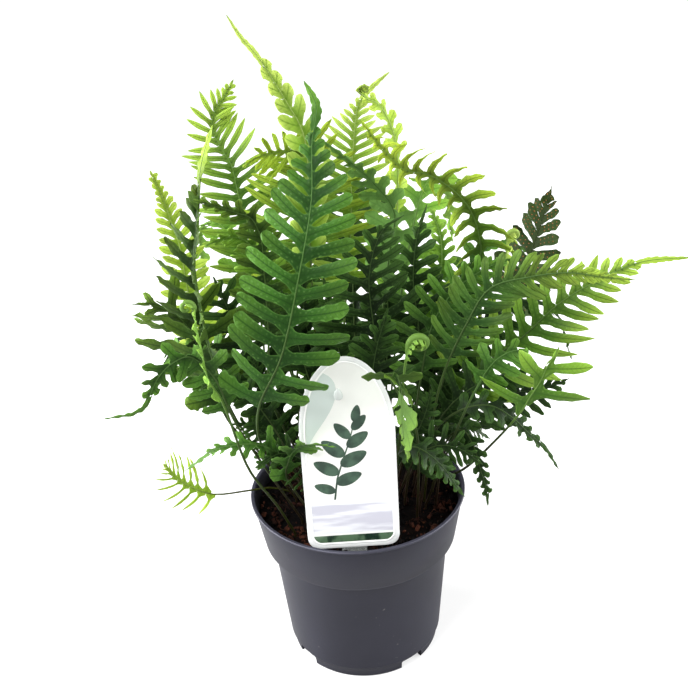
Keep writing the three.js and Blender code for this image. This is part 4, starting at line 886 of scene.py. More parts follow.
ROOT_DEPTH = 12
COLLAR_RISE = 3
STALK_STEP = 34
WING = 1.9
RIB_RISE = 0.75
RIB_TIP_RISE = 0.45
SOLID_THICKNESS = 0.72
COIL_STEPS = 8
COIL_CLOSE = 0.62
PITCH_FALL = 0.55
LOBE_STAGGER = 0.22
LOBE_SHOULDER = 0.84
BLUNT_SHOULDER = 0.94
LOBE_ARCH = 0.12
LOBE_SICKLE = 0.06
BASE_ANGLE_DEG = 86
TIP_ANGLE_DEG = 50
BASE_SHARE = 0.72
LONG_LOBE = 22
SHORT_LOBE = 12
NO_LOBE = 2
# The turns about its root, then the bends and lengths of a lobe, that a solid may have taken.
TURNS_DEG = [
    (0, 0), (4, 0), (-4, 0), (0, 3), (0, -3), (8, 0), (-8, 0), (5, 5), (-5, 5), (5, -5), (-5, -5),
    (12, 0), (-12, 0), (0, 9), (0, -9), (12, 8), (-12, 8), (12, -8), (-12, -8), (20, 0), (-20, 0),
    (20, 10), (-20, 10), (28, 0), (-28, 0), (28, 10), (-28, 10),
]
BENDS = [
    (0, 1), (12, 1), (-12, 1), (24, 1), (-24, 1), (38, 1), (-38, 1),
    (0, 0.75), (20, 0.75), (-20, 0.75), (40, 0.75), (-40, 0.75), (58, 0.8), (-58, 0.8),
    (0, 0.5), (30, 0.5), (-30, 0.5), (60, 0.5), (-60, 0.5), (0, 0.3), (45, 0.3), (-45, 0.3),
]
MATCH_MM = 0.03


def scatter(a, b):
    """A repeatable number from 0 to 1 for a pair of counts."""
    wave = math.sin(a * 12.9898 + b * 78.233) * 43758.5453
    return wave - math.floor(wave)


def between(limits, share):
    return limits[0] + (limits[1] - limits[0]) * share


def unit(vectors):
    vectors = np.asarray(vectors, float)
    return vectors / np.linalg.norm(vectors, axis=-1, keepdims=True)


def square_to(vectors, along):
    """Unit vectors turned square to the way along."""
    return unit(vectors - along * np.sum(along * vectors, axis=-1, keepdims=True))


def back_fronds():
    """Fronds of the side that looks away: they fan out round the back, lower at the sides."""
    rows = []
    spread = (BACK_LAST_DEG - BACK_FIRST_DEG) / (BACK_COUNT - 1)
    for count in range(BACK_COUNT):
        root, reach, rise, lobe = (between(limits, scatter(count + BACK_SEED, salt)) for salt, limits in
                                   enumerate((BACK_ROOT, BACK_REACH, BACK_RISE, BACK_LOBE), 1))
        bearing = math.radians(BACK_FIRST_DEG + spread * (count + 0.5 * (scatter(count, BACK_SEED) - 0.5)))
        x, y = math.cos(bearing), math.sin(bearing)
        rise *= BACK_SIDE_RISE + (1 - BACK_SIDE_RISE) * y
        rib = [(x * (root + reach * far), y * (root + reach * far), PEAT_TOP + rise * high)
               for far, high in BACK_STEPS]
        rows.append(frond_row(f"frond_back_{count + 1}", (x * root, y * root), BACK_BARE, BACK_PAIRS, lobe,
                              (-0.5 * x, -0.5 * y, 1), ("dark", "mid", "light")[count % 3], *rib,
                              density=BACK_DENSITY))
    return rows


def turned_frond(frond, turn_deg):
    """The rib's points and the upper face's hint, turned about the root."""
    swing, lean = map(math.radians, turn_deg)
    root = Vector((*frond["at"], PEAT_TOP + COLLAR_RISE))
    tip = frond["rib"][-1]
    outward = Vector((tip[0] - root.x, tip[1] - root.y, 0)).normalized()
    turn = Matrix.Rotation(swing, 3, "Z") @ Matrix.Rotation(lean, 3, Vector((0, 0, 1)).cross(outward))
    points = [root] + [turn @ (Vector(place) - root) + root for place in frond["rib"]]
    face = turn @ Vector(frond["face"])
    if "coil" in frond:
        radius, turns = frond["coil"]
        along = (points[-1] - points[-2]).normalized()
        inward = (face - along * face.dot(along)).normalized()
        middle = points[-1] + inward * radius
        steps = round(turns * COIL_STEPS)
        for step in range(1, steps + 1):
            angle = step / COIL_STEPS * math.tau
            reach = radius * (1 - COIL_CLOSE * step / steps)
            points.append(middle - inward * reach * math.cos(angle) + along * reach * math.sin(angle))
    return np.array(points), np.array(face)


class Rib:
    """A smooth curve through points, read by the share of its length."""

    def __init__(self, points):
        self.points = points
        self.padded = np.vstack([2 * points[0] - points[1], points, 2 * points[-1] - points[-2]])
        self.marks = np.linspace(0, 1, 201)
        steps = np.linalg.norm(np.diff(self.place(self.marks), axis=0), axis=1)
        self.lengths = np.concatenate([[0], np.cumsum(steps)])
        self.length = self.lengths[-1]

    def place(self, marks):
        spans = len(self.points) - 1
        place = np.clip(np.asarray(marks, float), 0, 1) * spans
        first = np.minimum(place.astype(int), spans - 1)
        share = (place - first)[:, None]
        p0, p1, p2, p3 = (self.padded[first + step] for step in range(4))
        d0, d1, d2 = (np.sqrt(np.linalg.norm(b - a, axis=1))[:, None]
                      for a, b in ((p0, p1), (p1, p2), (p2, p3)))
        t1 = ((p1 - p0) / d0 - (p2 - p0) / (d0 + d1) + (p2 - p1) / d1) * d1
        t2 = ((p2 - p1) / d1 - (p3 - p1) / (d1 + d2) + (p3 - p2) / d2) * d1
        return (p1 + t1 * share + (3 * (p2 - p1) - 2 * t1 - t2) * share ** 2
                + (2 * (p1 - p2) + t1 + t2) * share ** 3)

    def mark_of(self, shares):
        return np.interp(np.asarray(shares, float) * self.length, self.lengths, self.marks)

    def at(self, shares):
        return self.place(self.mark_of(shares))

    def along(self, shares):
        marks = self.mark_of(shares)
        return unit(self.place(np.minimum(marks + 1e-4, 1)) - self.place(np.maximum(marks - 1e-4, 0)))


def lay_out(frond, turn_deg):
    """Stations along a frond: shares of its length, points, directions and upper normals."""
    points, face = turned_frond(frond, turn_deg)
    rib = Rib(points)
    bare = frond["bare"]
    rings = max(2, math.floor(bare * rib.length / STALK_STEP + 0.5))
    gaps = 1 - PITCH_FALL * np.arange(frond["pairs"] + 1) / frond["pairs"]
    marks = np.concatenate([[0], np.cumsum(gaps / gaps.sum())])
    shares = np.concatenate([(bare - 3 / rib.length) * np.arange(rings + 1) / rings,
                             bare + (1 - bare) * np.minimum(marks, 1)])
    foot = rings + 1
    along = rib.along(shares)
    normals = np.zeros((len(shares), 3))
    normals[foot] = square_to(face, along[foot])
    for count in range(foot + 1, len(shares)):
        normals[count] = square_to(normals[count - 1], along[count])
    for count in range(foot - 1, -1, -1):
        normals[count] = square_to(normals[count + 1], along[count])
    return dict(rib=rib, foot=foot, shares=shares, points=rib.at(shares), along=along, normals=normals)


def lobe_frame(frond, layout, pair, side, bend):
    """Where one lobe sits and how it lies, as its solid has it."""
    start = layout["foot"] + pair
    share = (pair + 0.5) / frond["pairs"]
    seed = len(frond["name"]) * 7 + pair * 2 + (1 if side > 0 else 0)
    along = unit(layout["along"][start] + layout["along"][start + 1])
    normal = unit(layout["normals"][start] + layout["normals"][start + 1])
    out = np.cross(along, normal) * side
    pitch = np.linalg.norm(layout["points"][start + 1] - layout["points"][start])
    lift = math.radians(frond["fold"] + bend[0] + 10 * (scatter(seed, 1) - 0.5))
    outward = out * math.cos(lift) + normal * math.sin(lift)
    over = normal * math.cos(lift) - out * math.sin(lift)
    angle = math.radians(between((BASE_ANGLE_DEG, TIP_ANGLE_DEG), share) + 8 * (scatter(seed, 2) - 0.5))
    swell = between((BASE_SHARE, 1), min(1, share / 0.2))
    full = frond["lobe"] * swell * (1 - min(1, share / (1 - frond["tail"])) ** frond["taper"])
    shift = LOBE_STAGGER * pitch * side
    return dict(
        share=share, seed=seed, side=side, along=along, normal=normal, out=out, over=over, pitch=pitch,
        axis=along * math.cos(angle) + outward * math.sin(angle),
        across=along * math.sin(angle) - outward * math.cos(angle),
        length=full * bend[1] * (0.94 + 0.12 * scatter(seed, 3)), half=pitch * frond["slim"], shift=shift,
        middle=(layout["points"][start] + layout["points"][start + 1]) / 2 + along * shift)


def lobe_spine(lobe, part):
    part = np.asarray(part, float)[..., None]
    length = lobe["length"]
    return (lobe["middle"] + lobe["axis"] * length * part + lobe["along"] * length * LOBE_SICKLE * part ** 2
            - lobe["over"] * length * LOBE_ARCH * part ** 2)


def corners_of(solid):
    tree = KDTree(len(solid.data.vertices))
    for index, vertex in enumerate(solid.data.vertices):
        tree.insert(vertex.co / MM, index)
    tree.balance()
    return tree


def miss(corners, points):
    """How far the farthest of some points lies from the solid's corners, in mm."""
    return max(corners.find(Vector(point))[2] for point in points)


def find_turn(frond, corners):
    """The turn that the solid of this frond has taken, seen by where its rib's corners lie."""
    best = None
    for turn_deg in TURNS_DEG:
        layout = lay_out(frond, turn_deg)
        foot, last = layout["foot"], len(layout["points"]) - 1
        shares = np.arange(last - foot) / (last - foot)
        rises = between((RIB_RISE, RIB_TIP_RISE), shares)[:, None]
        ridge = layout["points"][foot:last] + layout["normals"][foot:last] * rises
        distance = miss(corners, ridge)
        if best is None or distance < best[0]:
            best = (distance, turn_deg, layout)
        if distance < MATCH_MM:
            break
    return best[1:]


def find_bend(frond, layout, pair, side, corners):
    """The bend that the solid of this lobe has taken, or None where it has no lobe."""
    for bend in BENDS:
        lobe = lobe_frame(frond, layout, pair, side, bend)
        if lobe["length"] < NO_LOBE:
            continue
        skin = lobe["over"] * SOLID_THICKNESS / 2
        if lobe["length"] >= SHORT_LOBE:
            spot = lobe_spine(lobe, LOBE_SHOULDER if lobe["length"] >= LONG_LOBE else BLUNT_SHOULDER) + skin
            points = [spot + lobe["across"] * lobe["half"], spot - lobe["across"] * lobe["half"]]
        else:
            points = [lobe_spine(lobe, 1) + skin, lobe_spine(lobe, 1) - skin]
        if miss(corners, points) < MATCH_MM:
            return bend
    return None


def frond_over_solid(frond):
    """The turn of a frond and the bend of each of its lobes, as its solid has them."""
    corners = corners_of(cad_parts[frond["name"]])
    turn_deg, layout = find_turn(frond, corners)
    bends = {side: [find_bend(frond, layout, pair, side, corners) for pair in range(frond["pairs"])]
             for side in (1, -1)}
    return turn_deg, bends

# Leaf blades: each frond is a round stalk and rib with thin leathery lobes, cut almost to the rib and
# joined by a narrow wing, and a plain wavy tail. Each is grown over its solid, lobe by lobe.
LOBE_COLUMNS = np.array([-1, -0.66, -0.3, 0, 0.3, 0.66, 1])
NOTCH_STEPS = np.array([0.3, 0.65, 1])
TIP_STEPS = np.sin(np.radians([18, 36, 53, 69, 83]))
BODY_STEP = 2.7
LEAF_HALF = 0.17
RUFFLE = 0.85
USUAL_WAVE = 0.05
GROOVE = 0.34
CROWN = 0.13
SWAY = (-0.06, 0.13)
TWIST = 1.5
CURL = 0.2
STUB_LENGTH = 3.4
LENGTH_SCATTER = (0.9, 1.08)
LEAST_LENGTH = 0.35
TAIL_SHARE = 0.42
TAIL_STEP = 1.3
TAIL_WAVE = 0.16
RIB_MARK = 2.0
PLAIN_LENGTH = 8.0
RIB_SIDES = 8
STALK_RADIUS = 0.8
RIB_RADIUS = 0.64
RIB_END = 0.2
# How a blade looks next to its solid: lobes for each of the solid's, their width and length, their
# edge's wave, the flare of the notch, how pointed and how swept they are, the length of the lowest
# ones and of the inner side's, the tail's fullness, and the finish where it isn't the solid's green.
USUAL_LOOK = dict(density=1, slimness=0.94, wave=USUAL_WAVE, flare=1, point=0.5, gain=1, sweep=0, foot=1,
                  inner=1, fullness=1)
LOOKS = {
    "frond_front_tall": dict(finish="tall", slimness=0.86, point=0.05, sweep=0.05, fullness=1.35),
    "frond_tag_right": dict(finish="shaded", slimness=1.3, point=0.3, gain=1.05),
    "frond_right_young": dict(density=0.6, slimness=0.64, wave=0.015, flare=0.3, point=0.8),
    "frond_left_dark": dict(finish="topped", point=0.8, sweep=0.2, fullness=1.8),
    "frond_right_bright": dict(finish="tipped", density=1.45, slimness=1.3, point=0.25, sweep=0.3),
    "frond_right_far": dict(finish="faded", density=1.15, slimness=1.15, point=0.85, gain=1.35, sweep=0.25),
    "frond_right_olive": dict(finish="olive", density=0.95, slimness=1.15, flare=0.45, point=0.7, taper=5,
                              gain=0.88, sweep=-0.85, inner=0.75),
    "frond_back_spire": dict(finish="spire", slimness=1.1, point=0.6, gain=1.15, sweep=0.4, tail=0.22,
                             fullness=1.3),
    "frond_top_light": dict(finish="spire", density=1.5, slimness=1.35, wave=0.03, point=0.9),
    "frond_top_hook": dict(finish="yellow", coil_radius=0.6),
    "frond_left_low": dict(finish="shaded", wave=0.07, gain=1.15, foot=0.5),
    "frond_left_pale": dict(density=1.5, slimness=1.3, point=0.7),
    "frond_left_tail": dict(finish="mid", gain=1.2),
    "frond_left_olive": dict(finish="shaded"),
    "frond_left_inner": dict(density=1.3),
    "frond_backleft_light": dict(finish="faded", density=1.2, slimness=1.3, wave=0.03, point=0.9),
    "frond_backleft_arch": dict(finish="olive", density=1.5, gain=1.7),
    "frond_middle_broad": dict(slimness=0.85, point=0.25),
    "frond_middle_dark": dict(finish="mid"),
    "frond_right_spore": dict(finish="bronze", slimness=1.3, gain=1.4),
    "frond_right_small": dict(finish="mid"),
    "frond_rim_left": dict(finish="yellow", point=0.9, sweep=0.35),
    "frond_low_left": dict(finish="mid"),
    "frond_inner_left": dict(gain=0.6),
    "crozier_middle": dict(finish="light", coil_radius=2.1),
    "crozier_left": dict(finish="light", coil_radius=1.5),
    "crozier_right": dict(coil_radius=1.5),
}


def ease(values, low, high):
    """How far values have come from one number to another, from 0 to 1."""
    return np.clip((values - low) / (high - low), 0, 1)


def grid_faces(rows, columns, flipped):
    """Quads of a closed thin shell whose upper grid comes first and whose lower grid follows."""
    size = rows * columns
    index = np.arange(size).reshape(rows, columns)
    a, b, c, d = index[:-1, :-1], index[1:, :-1], index[1:, 1:], index[:-1, 1:]
    top = np.stack([a, b, c, d], -1).reshape(-1, 4)
    under = np.stack([d, c, b, a], -1).reshape(-1, 4) + size
    rim = np.concatenate([index[:, 0], index[-1, 1:], index[-2::-1, -1], index[0, -2:0:-1]])
    following = np.roll(rim, -1)
    edge = np.stack([following, rim, rim + size, following + size], -1)
    faces = np.vstack([top, under, edge])
    return (faces[:, ::-1] if flipped else faces).tolist()


def leaf_marks(count, t, v, tone, share, under, length):
    """The two coordinate sets that the leaf skin reads, for each corner."""
    columns = [np.broadcast_to(values, count) for values in (t, v, tone, share, under, length)]
    return np.column_stack(columns[:3]), np.column_stack(columns[3:])


def thin_shell(grid, skin, flipped, t, v, tone, share, length):
    """A closed shell from a grid of points and half its thickness, with its leaf coordinates."""
    rows, columns = grid.shape[:2]
    count = rows * columns
    corners = np.vstack([(grid + skin).reshape(-1, 3), (grid - skin).reshape(-1, 3)])
    t, v, share = (np.tile(np.broadcast_to(values, (rows, columns)).reshape(-1), 2)
                   for values in (t, v, share))
    under = np.repeat([0.0, 1.0], count)
    return (corners, grid_faces(rows, columns, flipped),
            *leaf_marks(2 * count, t, v, tone, share, under, length))


def lobe_rows(length, wing, half, flare, point):
    """Parts of a lobe's length where its rows lie: close at the rounded notch and at the tip."""
    start = min(0.45, wing / length)
    notch = min(0.62, start + min(0.3 * length, flare) / length)
    shoulder = max(notch + 0.08, 1 - max(1.25 * half / length, 0.1 + 0.4 * point))
    body = max(3, int(length * (shoulder - notch) / BODY_STEP))
    return start, notch, shoulder, np.concatenate([
        start + (notch - start) * NOTCH_STEPS,
        np.linspace(notch, shoulder, body + 1)[1:],
        shoulder + (1 - shoulder) * TIP_STEPS])


def lobe_waves(lobe):
    """How many waves a lobe's edge has, and where they begin."""
    return 1.6 + 1.6 * scatter(lobe["seed"], 5) + lobe["length"] / 16, math.tau * scatter(lobe["seed"], 6)


def lobe_widths(frond, lobe, notch, shoulder, parts):
    """Half the width of a lobe at each of its rows: a little belly, a wavy edge and a round tip."""
    waves, phase = lobe_waves(lobe)
    belly = 0.84 + 0.24 * np.sin(0.62 * math.pi * ease(parts, notch, 1))
    crenate = 1 + frond["wave"] * np.sin(math.tau * waves * 1.3 * parts + 2.1 * phase) * (parts > notch)
    blunt = np.clip(1 - ease(parts, shoulder, 1) ** (2.1 - 0.6 * frond["point"]), 0, 1)
    return lobe["half"] * belly * crenate * blunt ** (0.5 + 0.3 * frond["point"])


def lobe_lift(frond, lobe, start, parts, width):
    """How far each point of a lobe rises from its plane: ruffles, a groove, a crown, a twist, a curl."""
    seed, length = lobe["seed"], lobe["length"]
    waves, phase = lobe_waves(lobe)
    t, v, width = parts[:, None], LOBE_COLUMNS[None, :], width[:, None]
    size = min(1, length / 26)
    ruffle = RUFFLE * frond["wave"] / USUAL_WAVE * size * np.abs(v) ** 2.2
    ruffle = ruffle * np.sin(math.tau * waves * t + phase + 1.3 * np.sign(v)) * (t > start)
    groove = GROOVE * size * np.exp(-(v / 0.25) ** 2) * (1 - t)
    tilt = TWIST * (scatter(seed, 7) - 0.5) * width * v * t
    curl = CURL * (scatter(seed, 8) - 0.6) * length * t ** 2
    return ruffle - groove - CROWN * width * v ** 2 + tilt + curl


def lobe_shell(frond, layout, pair, lobe):
    """Points, faces and leaf coordinates of one lobe, from the rib to its tip."""
    seed, length, share, v = lobe["seed"], lobe["length"], lobe["share"], LOBE_COLUMNS
    station = layout["foot"] + pair
    first, last = layout["shares"][station:station + 2]
    wing = WING * (1 - 0.5 * share)
    root = layout["rib"].at(first + lobe["shift"] / layout["rib"].length + (v + 1) / 2 * (last - first))
    edge = root + lobe["out"] * wing
    flare = 0.5 * lobe["pitch"] * frond["flare"]
    start, notch, shoulder, parts = lobe_rows(length, wing, lobe["half"], flare, frond["point"])
    width = lobe_widths(frond, lobe, notch, shoulder, parts)
    blend = (1 - (1 - ease(parts, start, notch)) ** 2)[:, None]
    sway = frond["sweep"] * (0.6 + 0.8 * scatter(seed, 12)) + between(SWAY, scatter(seed, 10))
    spine = lobe_spine(lobe, parts) + lobe["along"] * (sway * length * parts ** 2)[:, None]
    strap = spine[:, None, :] + lobe["across"] * (width[:, None] * v)[..., None]
    base = edge[None, :, :] + lobe["axis"] * ((parts - start) * length)[:, None, None]
    surface = base + (strap - base) * blend[..., None]
    surface = surface + lobe["over"] * (lobe_lift(frond, lobe, start, parts, width) * blend)[..., None]
    grid = np.vstack([root[None], edge[None], surface])
    facing = unit(np.vstack([lobe["normal"], lobe["normal"],
                             lobe["normal"] + (lobe["over"] - lobe["normal"]) * blend]))
    thick = LEAF_HALF * (1 - 0.6 * np.abs(v) ** 4)
    return thin_shell(grid, facing[:, None, :] * thick[:, None], lobe["side"] < 0,
                      np.concatenate([[0, start], parts])[:, None], v, scatter(seed, 9), share, length)


def lobed_pairs(frond):
    """How many pairs of lobes there are before the plain tail of a blade begins."""
    return sum((pair + 0.5) / frond["pairs"] < 0.98 - frond["tail"] for pair in range(frond["pairs"]))


def tail_shell(frond, layout):
    """The pointed strap past the last pair of lobes, with wavy edges."""
    rib, shares, pairs, v = layout["rib"], layout["shares"], lobed_pairs(frond), LOBE_COLUMNS
    last_lobe = layout["foot"] + pairs
    first = shares[last_lobe]
    long_tail = (1 - first) * rib.length
    steps = np.linspace(0, 0.997, max(9, int(long_tail / TAIL_STEP)))[:, None]
    starts = first + LOBE_STAGGER * (first - shares[last_lobe - 1]) * v
    spots = starts + (1 - starts) * steps
    centre = rib.at(spots.reshape(-1)).reshape(*spots.shape, 3)
    along = rib.along(spots.reshape(-1)).reshape(*spots.shape, 3)
    normal = square_to(layout["normals"][last_lobe], along)
    joined = WING * (1 - 0.5 * (pairs - 0.5) / frond["pairs"])
    full = max(joined, TAIL_SHARE * frond["lobe"] ** 0.5 * frond["fullness"]) if long_tail > 12 else joined
    swell = ease(steps, 0, 0.25)
    waves = TAIL_WAVE * np.sin(long_tail / 4.2 * steps * math.tau + 2.2 * np.sign(v)) * swell
    width = ((joined + (full - joined) * swell) * (1 - steps) ** 0.6 + 0.05) * (1 + waves)
    ruffle = 0.5 * np.sin(long_tail / 6.5 * steps * math.tau + 1.9 * np.sign(v)) * np.abs(v) ** 2
    lift = ruffle * swell * ease(1 - steps, 0, 0.2) - 0.12 * width * v ** 2
    surface = centre + np.cross(along, normal) * (width * v)[..., None] + normal * lift[..., None]
    share = (pairs + (frond["pairs"] - pairs) * steps) / frond["pairs"]
    return thin_shell(surface, normal * LEAF_HALF * 0.8, True, 0.5, v, 0.5, share, PLAIN_LENGTH)


def rib_radii(frond, rib, spots, bare_end):
    """Radii of the stalk and the rib along a frond, fatter where a young tip is rolled up."""
    blade = ease(spots, bare_end, 1)
    radius = np.where(spots < bare_end, STALK_RADIUS + (RIB_RADIUS - STALK_RADIUS) * spots / bare_end,
                      RIB_RADIUS + (RIB_END - RIB_RADIUS) * blade ** 0.8) * frond["stalk"]
    if "coil" in frond:
        coiled = frond["coil"][0] * frond["coil"][1] * math.tau * 0.7 / rib.length
        rolled = (spots - 1 + coiled) / coiled
        fat = frond["coil_radius"] * (1 - 0.4 * np.clip(rolled, 0, 1))
        radius = radius + (fat - radius) * np.clip(rolled / 0.25 + 1, 0, 1)
    return radius


def rib_tube(frond, layout):
    """The stalk and the rib as one closed tube, thinner from the peat to the tip."""
    rib, shares = layout["rib"], layout["shares"]
    bare_end = shares[layout["foot"]]
    blade_step = 0.7 if "coil" in frond else 2.6
    stalk = np.linspace(0, bare_end, max(4, int(bare_end * rib.length / 5)))[:-1]
    blade = np.linspace(bare_end, 1, max(6, int((1 - bare_end) * rib.length / blade_step)))
    spots = np.concatenate([stalk, blade])
    centre, along = rib.at(spots), rib.along(spots)
    normals = np.column_stack([np.interp(spots, shares, axis) for axis in layout["normals"].T])
    normals = square_to(normals, along)
    radius = rib_radii(frond, rib, spots, bare_end)
    centre = np.vstack([centre[0] * (1, 1, 0) + (0, 0, PEAT_TOP - ROOT_DEPTH), centre])
    normals = np.vstack([unit(normals[0] * (1, 1, 0)), normals])
    rights = np.cross(np.vstack([(0, 0, 1), along]), normals)
    radius = np.concatenate([radius[:1], radius])[:, None, None]
    angles = (math.tau * np.arange(RIB_SIDES) / RIB_SIDES)[None, :, None]
    ring = np.cos(angles) * normals[:, None, :] + np.sin(angles) * rights[:, None, :]
    points = (centre[:, None, :] + ring * radius).reshape(-1, 3)
    index = np.arange(len(points)).reshape(-1, RIB_SIDES)
    nxt = np.roll(index, -1, axis=1)
    faces = np.stack([index[:-1], nxt[:-1], nxt[1:], index[1:]], -1).reshape(-1, 4).tolist()
    share = np.repeat(np.concatenate([[0], spots]), RIB_SIDES)
    return (points, faces + [index[0][::-1].tolist(), index[-1].tolist()],
            *leaf_marks(len(points), 0, RIB_MARK, 0.5, share, 0, PLAIN_LENGTH))


def grow_lobe(frond, layout, pair, side, bend):
    """One lobe as it is seen: a little longer or shorter than its solid, as its neighbours allow."""
    bend_deg, scale = bend or (0, 1)
    lobe = lobe_frame(frond, layout, pair, side, (bend_deg, between((LEAST_LENGTH, 1), scale)))
    lobe["half"] *= frond["slimness"]
    gain = frond["gain"] * between(LENGTH_SCATTER, scatter(lobe["seed"], 11))
    gain *= between((frond["foot"], 1), min(1, lobe["share"] / 0.45))
    if side < 0:
        gain *= frond["inner"]
    lobe["length"] = max(lobe["length"] * gain if bend else 0, STUB_LENGTH)
    return lobe


def grow_frond(frond, turn_deg, bends):
    """Builds one frond's rib, lobes and tail in one object, and lists its lobes' grids."""
    layout = lay_out(frond, turn_deg)
    parts = [rib_tube(frond, layout)]
    lobes = []
    for pair in range(lobed_pairs(frond)):
        for side in (1, -1):
            near = int((pair + 0.5) / frond["pairs"] * len(bends[side]))
            lobe = grow_lobe(frond, layout, pair, side, bends[side][near])
            parts.append(lobe_shell(frond, layout, pair, lobe))
            lobes.append((parts[-1][0], lobe["over"]))
    parts.append(tail_shell(frond, layout))
    points, faces, leaf, place = zip(*parts)
    starts = np.cumsum([0] + [len(part) for part in points])
    faces = [[index + start for index in face] for part, start in zip(faces, starts) for face in part]
    piece = shell_object(frond["name"], np.vstack(points), faces)
    for name, values in (("leaf", leaf), ("place", place)):
        made = piece.data.attributes.new(name, "FLOAT_VECTOR", "POINT")
        made.data.foreach_set("vector", np.vstack(values).astype(np.float32).ravel())
    smooth_by_angle(piece, 50)
    return piece, lobes


# Leaf skin: one pattern for all the leaves, with a tone for each lobe, sunken veins in darker green,
# painted shade in the veins' green on the lobes near the rib, rows of small pale spots, paler edges and
# tips, and stalks that turn from brown to green.
STALK_FOOT = (0.016, 0.009, 0.005, 1)
STALK_GREEN = (0.050, 0.088, 0.024, 1)
LEAF_GLOSS = 0.33
SPOT_ROW = 0.5
SPOT_STEP = 2.9
# Each finish: its deep, fresh and tip greens, the green of its veins, which also paints the shade on the
# lobes near the rib, its edge green, the share of light that it lets through, how far the tip's green
# comes in, and where along the frond and how far along the lobes it starts.
LEAF_GREENS = {
    "dark": ((0.007, 0.020, 0.004), (0.021, 0.054, 0.010), (0.048, 0.116, 0.018), (0.005, 0.013, 0.003),
             (0.075, 0.150, 0.036), 0.14, 0.4),
    "mid": ((0.026, 0.072, 0.010), (0.058, 0.160, 0.020), (0.130, 0.280, 0.036), (0.012, 0.038, 0.006),
            (0.150, 0.310, 0.070), 0.2, 0.5),
    "light": ((0.070, 0.180, 0.018), (0.140, 0.310, 0.032), (0.280, 0.480, 0.054), (0.036, 0.100, 0.012),
              (0.300, 0.500, 0.110), 0.26, 0.5),
    "yellow": ((0.240, 0.380, 0.028), (0.410, 0.580, 0.060), (0.570, 0.710, 0.130), (0.120, 0.240, 0.018),
               (0.580, 0.710, 0.220), 0.34, 0.5),
    "tall": ((0.015, 0.052, 0.008), (0.040, 0.128, 0.015), (0.130, 0.290, 0.032), (0.010, 0.038, 0.005),
             (0.130, 0.290, 0.062), 0.16, 1.0, 0.84, 0.36),
    "tipped": ((0.020, 0.062, 0.012), (0.056, 0.140, 0.022), (0.400, 0.580, 0.070), (0.014, 0.042, 0.008),
               (0.150, 0.290, 0.070), 0.22, 1.0, 0.30, 0.12),
    "faded": ((0.050, 0.130, 0.014), (0.110, 0.240, 0.026), (0.400, 0.580, 0.070), (0.020, 0.060, 0.008),
              (0.240, 0.420, 0.090), 0.24, 0.9),
    "shaded": ((0.012, 0.034, 0.005), (0.036, 0.085, 0.012), (0.150, 0.270, 0.026), (0.007, 0.020, 0.003),
               (0.120, 0.230, 0.045), 0.2, 0.5),
    "topped": ((0.012, 0.034, 0.005), (0.036, 0.085, 0.012), (0.320, 0.460, 0.050), (0.007, 0.020, 0.003),
               (0.120, 0.220, 0.040), 0.2, 1.0, 0.66, 0.12),
    "spire": ((0.090, 0.200, 0.016), (0.190, 0.350, 0.030), (0.570, 0.710, 0.150), (0.080, 0.170, 0.014),
              (0.520, 0.660, 0.200), 0.34, 0.9),
    "olive": ((0.045, 0.110, 0.012), (0.105, 0.220, 0.022), (0.460, 0.610, 0.050), (0.024, 0.064, 0.008),
              (0.230, 0.400, 0.080), 0.26, 1.0, 0.22, 0.5),
    "bronze": ((0.009, 0.022, 0.003), (0.020, 0.044, 0.006), (0.038, 0.074, 0.010), (0.010, 0.012, 0.003),
               (0.032, 0.060, 0.010), 0.2, 0.3),
}


def marks_of(tree, name):
    """The three values of one of a leaf's coordinate sets."""
    marks = node(tree, "ShaderNodeAttribute", {"attribute_name": name}).outputs["Vector"]
    return node(tree, "ShaderNodeSeparateXYZ", None, i0=marks).outputs


def distance_to(tree, value, target):
    return math_node(tree, "ABSOLUTE", math_node(tree, "SUBTRACT", value, target))


skin, given, result = start_group(
    "leaf_skin",
    dict(Deep="Color", Fresh="Color", Tip="Color", Vein="Color", Edge="Color", Rise="Float", Start="Float",
         Reach="Float"),
    dict(Colour="Color", Roughness="Float", Height="Float"))
deep, fresh, tip, vein, edge, rise, start, reach = list(given)[:8]
t, v, tone = marks_of(skin, "leaf")
share, under, length = marks_of(skin, "place")
where = object_place(skin)
spread = math_node(skin, "ABSOLUTE", v)
patches = speckle(skin, where, 75, 3)
fine = speckle(skin, where, 1100, 2)
shade = plus(skin, times(skin, tone, 0.5), times(skin, patches, 0.6))
tint = mix_colour(skin, ramp(skin, shade, 0.25, 0.9), deep, fresh)
aged = plus(skin, times(skin, ramp(skin, share, start, 1.0), rise),
            times(skin, ramp(skin, t, 0.3, 1.0), reach))
millimetres = times(skin, t, length)
slant = math_node(skin, "SUBTRACT", millimetres, times(skin, spread, 2.6))
side_veins = math_node(skin, "SINE", times(skin, slant, 2.9))
side_mask = times(skin, ramp(skin, side_veins, 0.45, 1.0), ramp(skin, spread, 0.95, 0.6))
off_row = times(skin, distance_to(skin, spread, SPOT_ROW), 3.6)
beat = math_node(skin, "FRACT", math_node(skin, "DIVIDE", millimetres, SPOT_STEP))
off_beat = times(skin, distance_to(skin, beat, 0.5), SPOT_STEP)
away = math_node(skin, "SQRT", plus(skin, times(skin, off_row, off_row), times(skin, off_beat, off_beat)))
spots = times(skin, ramp(skin, away, 0.8, 0.25), ramp(skin, length, 9, 15))
spots = times(skin, spots, ramp(skin, patches, 0.35, 0.6, 0.3, 1))
stem = mix_colour(skin, ramp(skin, height_of(skin, where), 0.106, 0.2), STALK_FOOT, STALK_GREEN)
stem = mix_colour(skin, ramp(skin, share, 0.45, 0.8), stem, mix_colour(skin, 0.4, vein, edge))
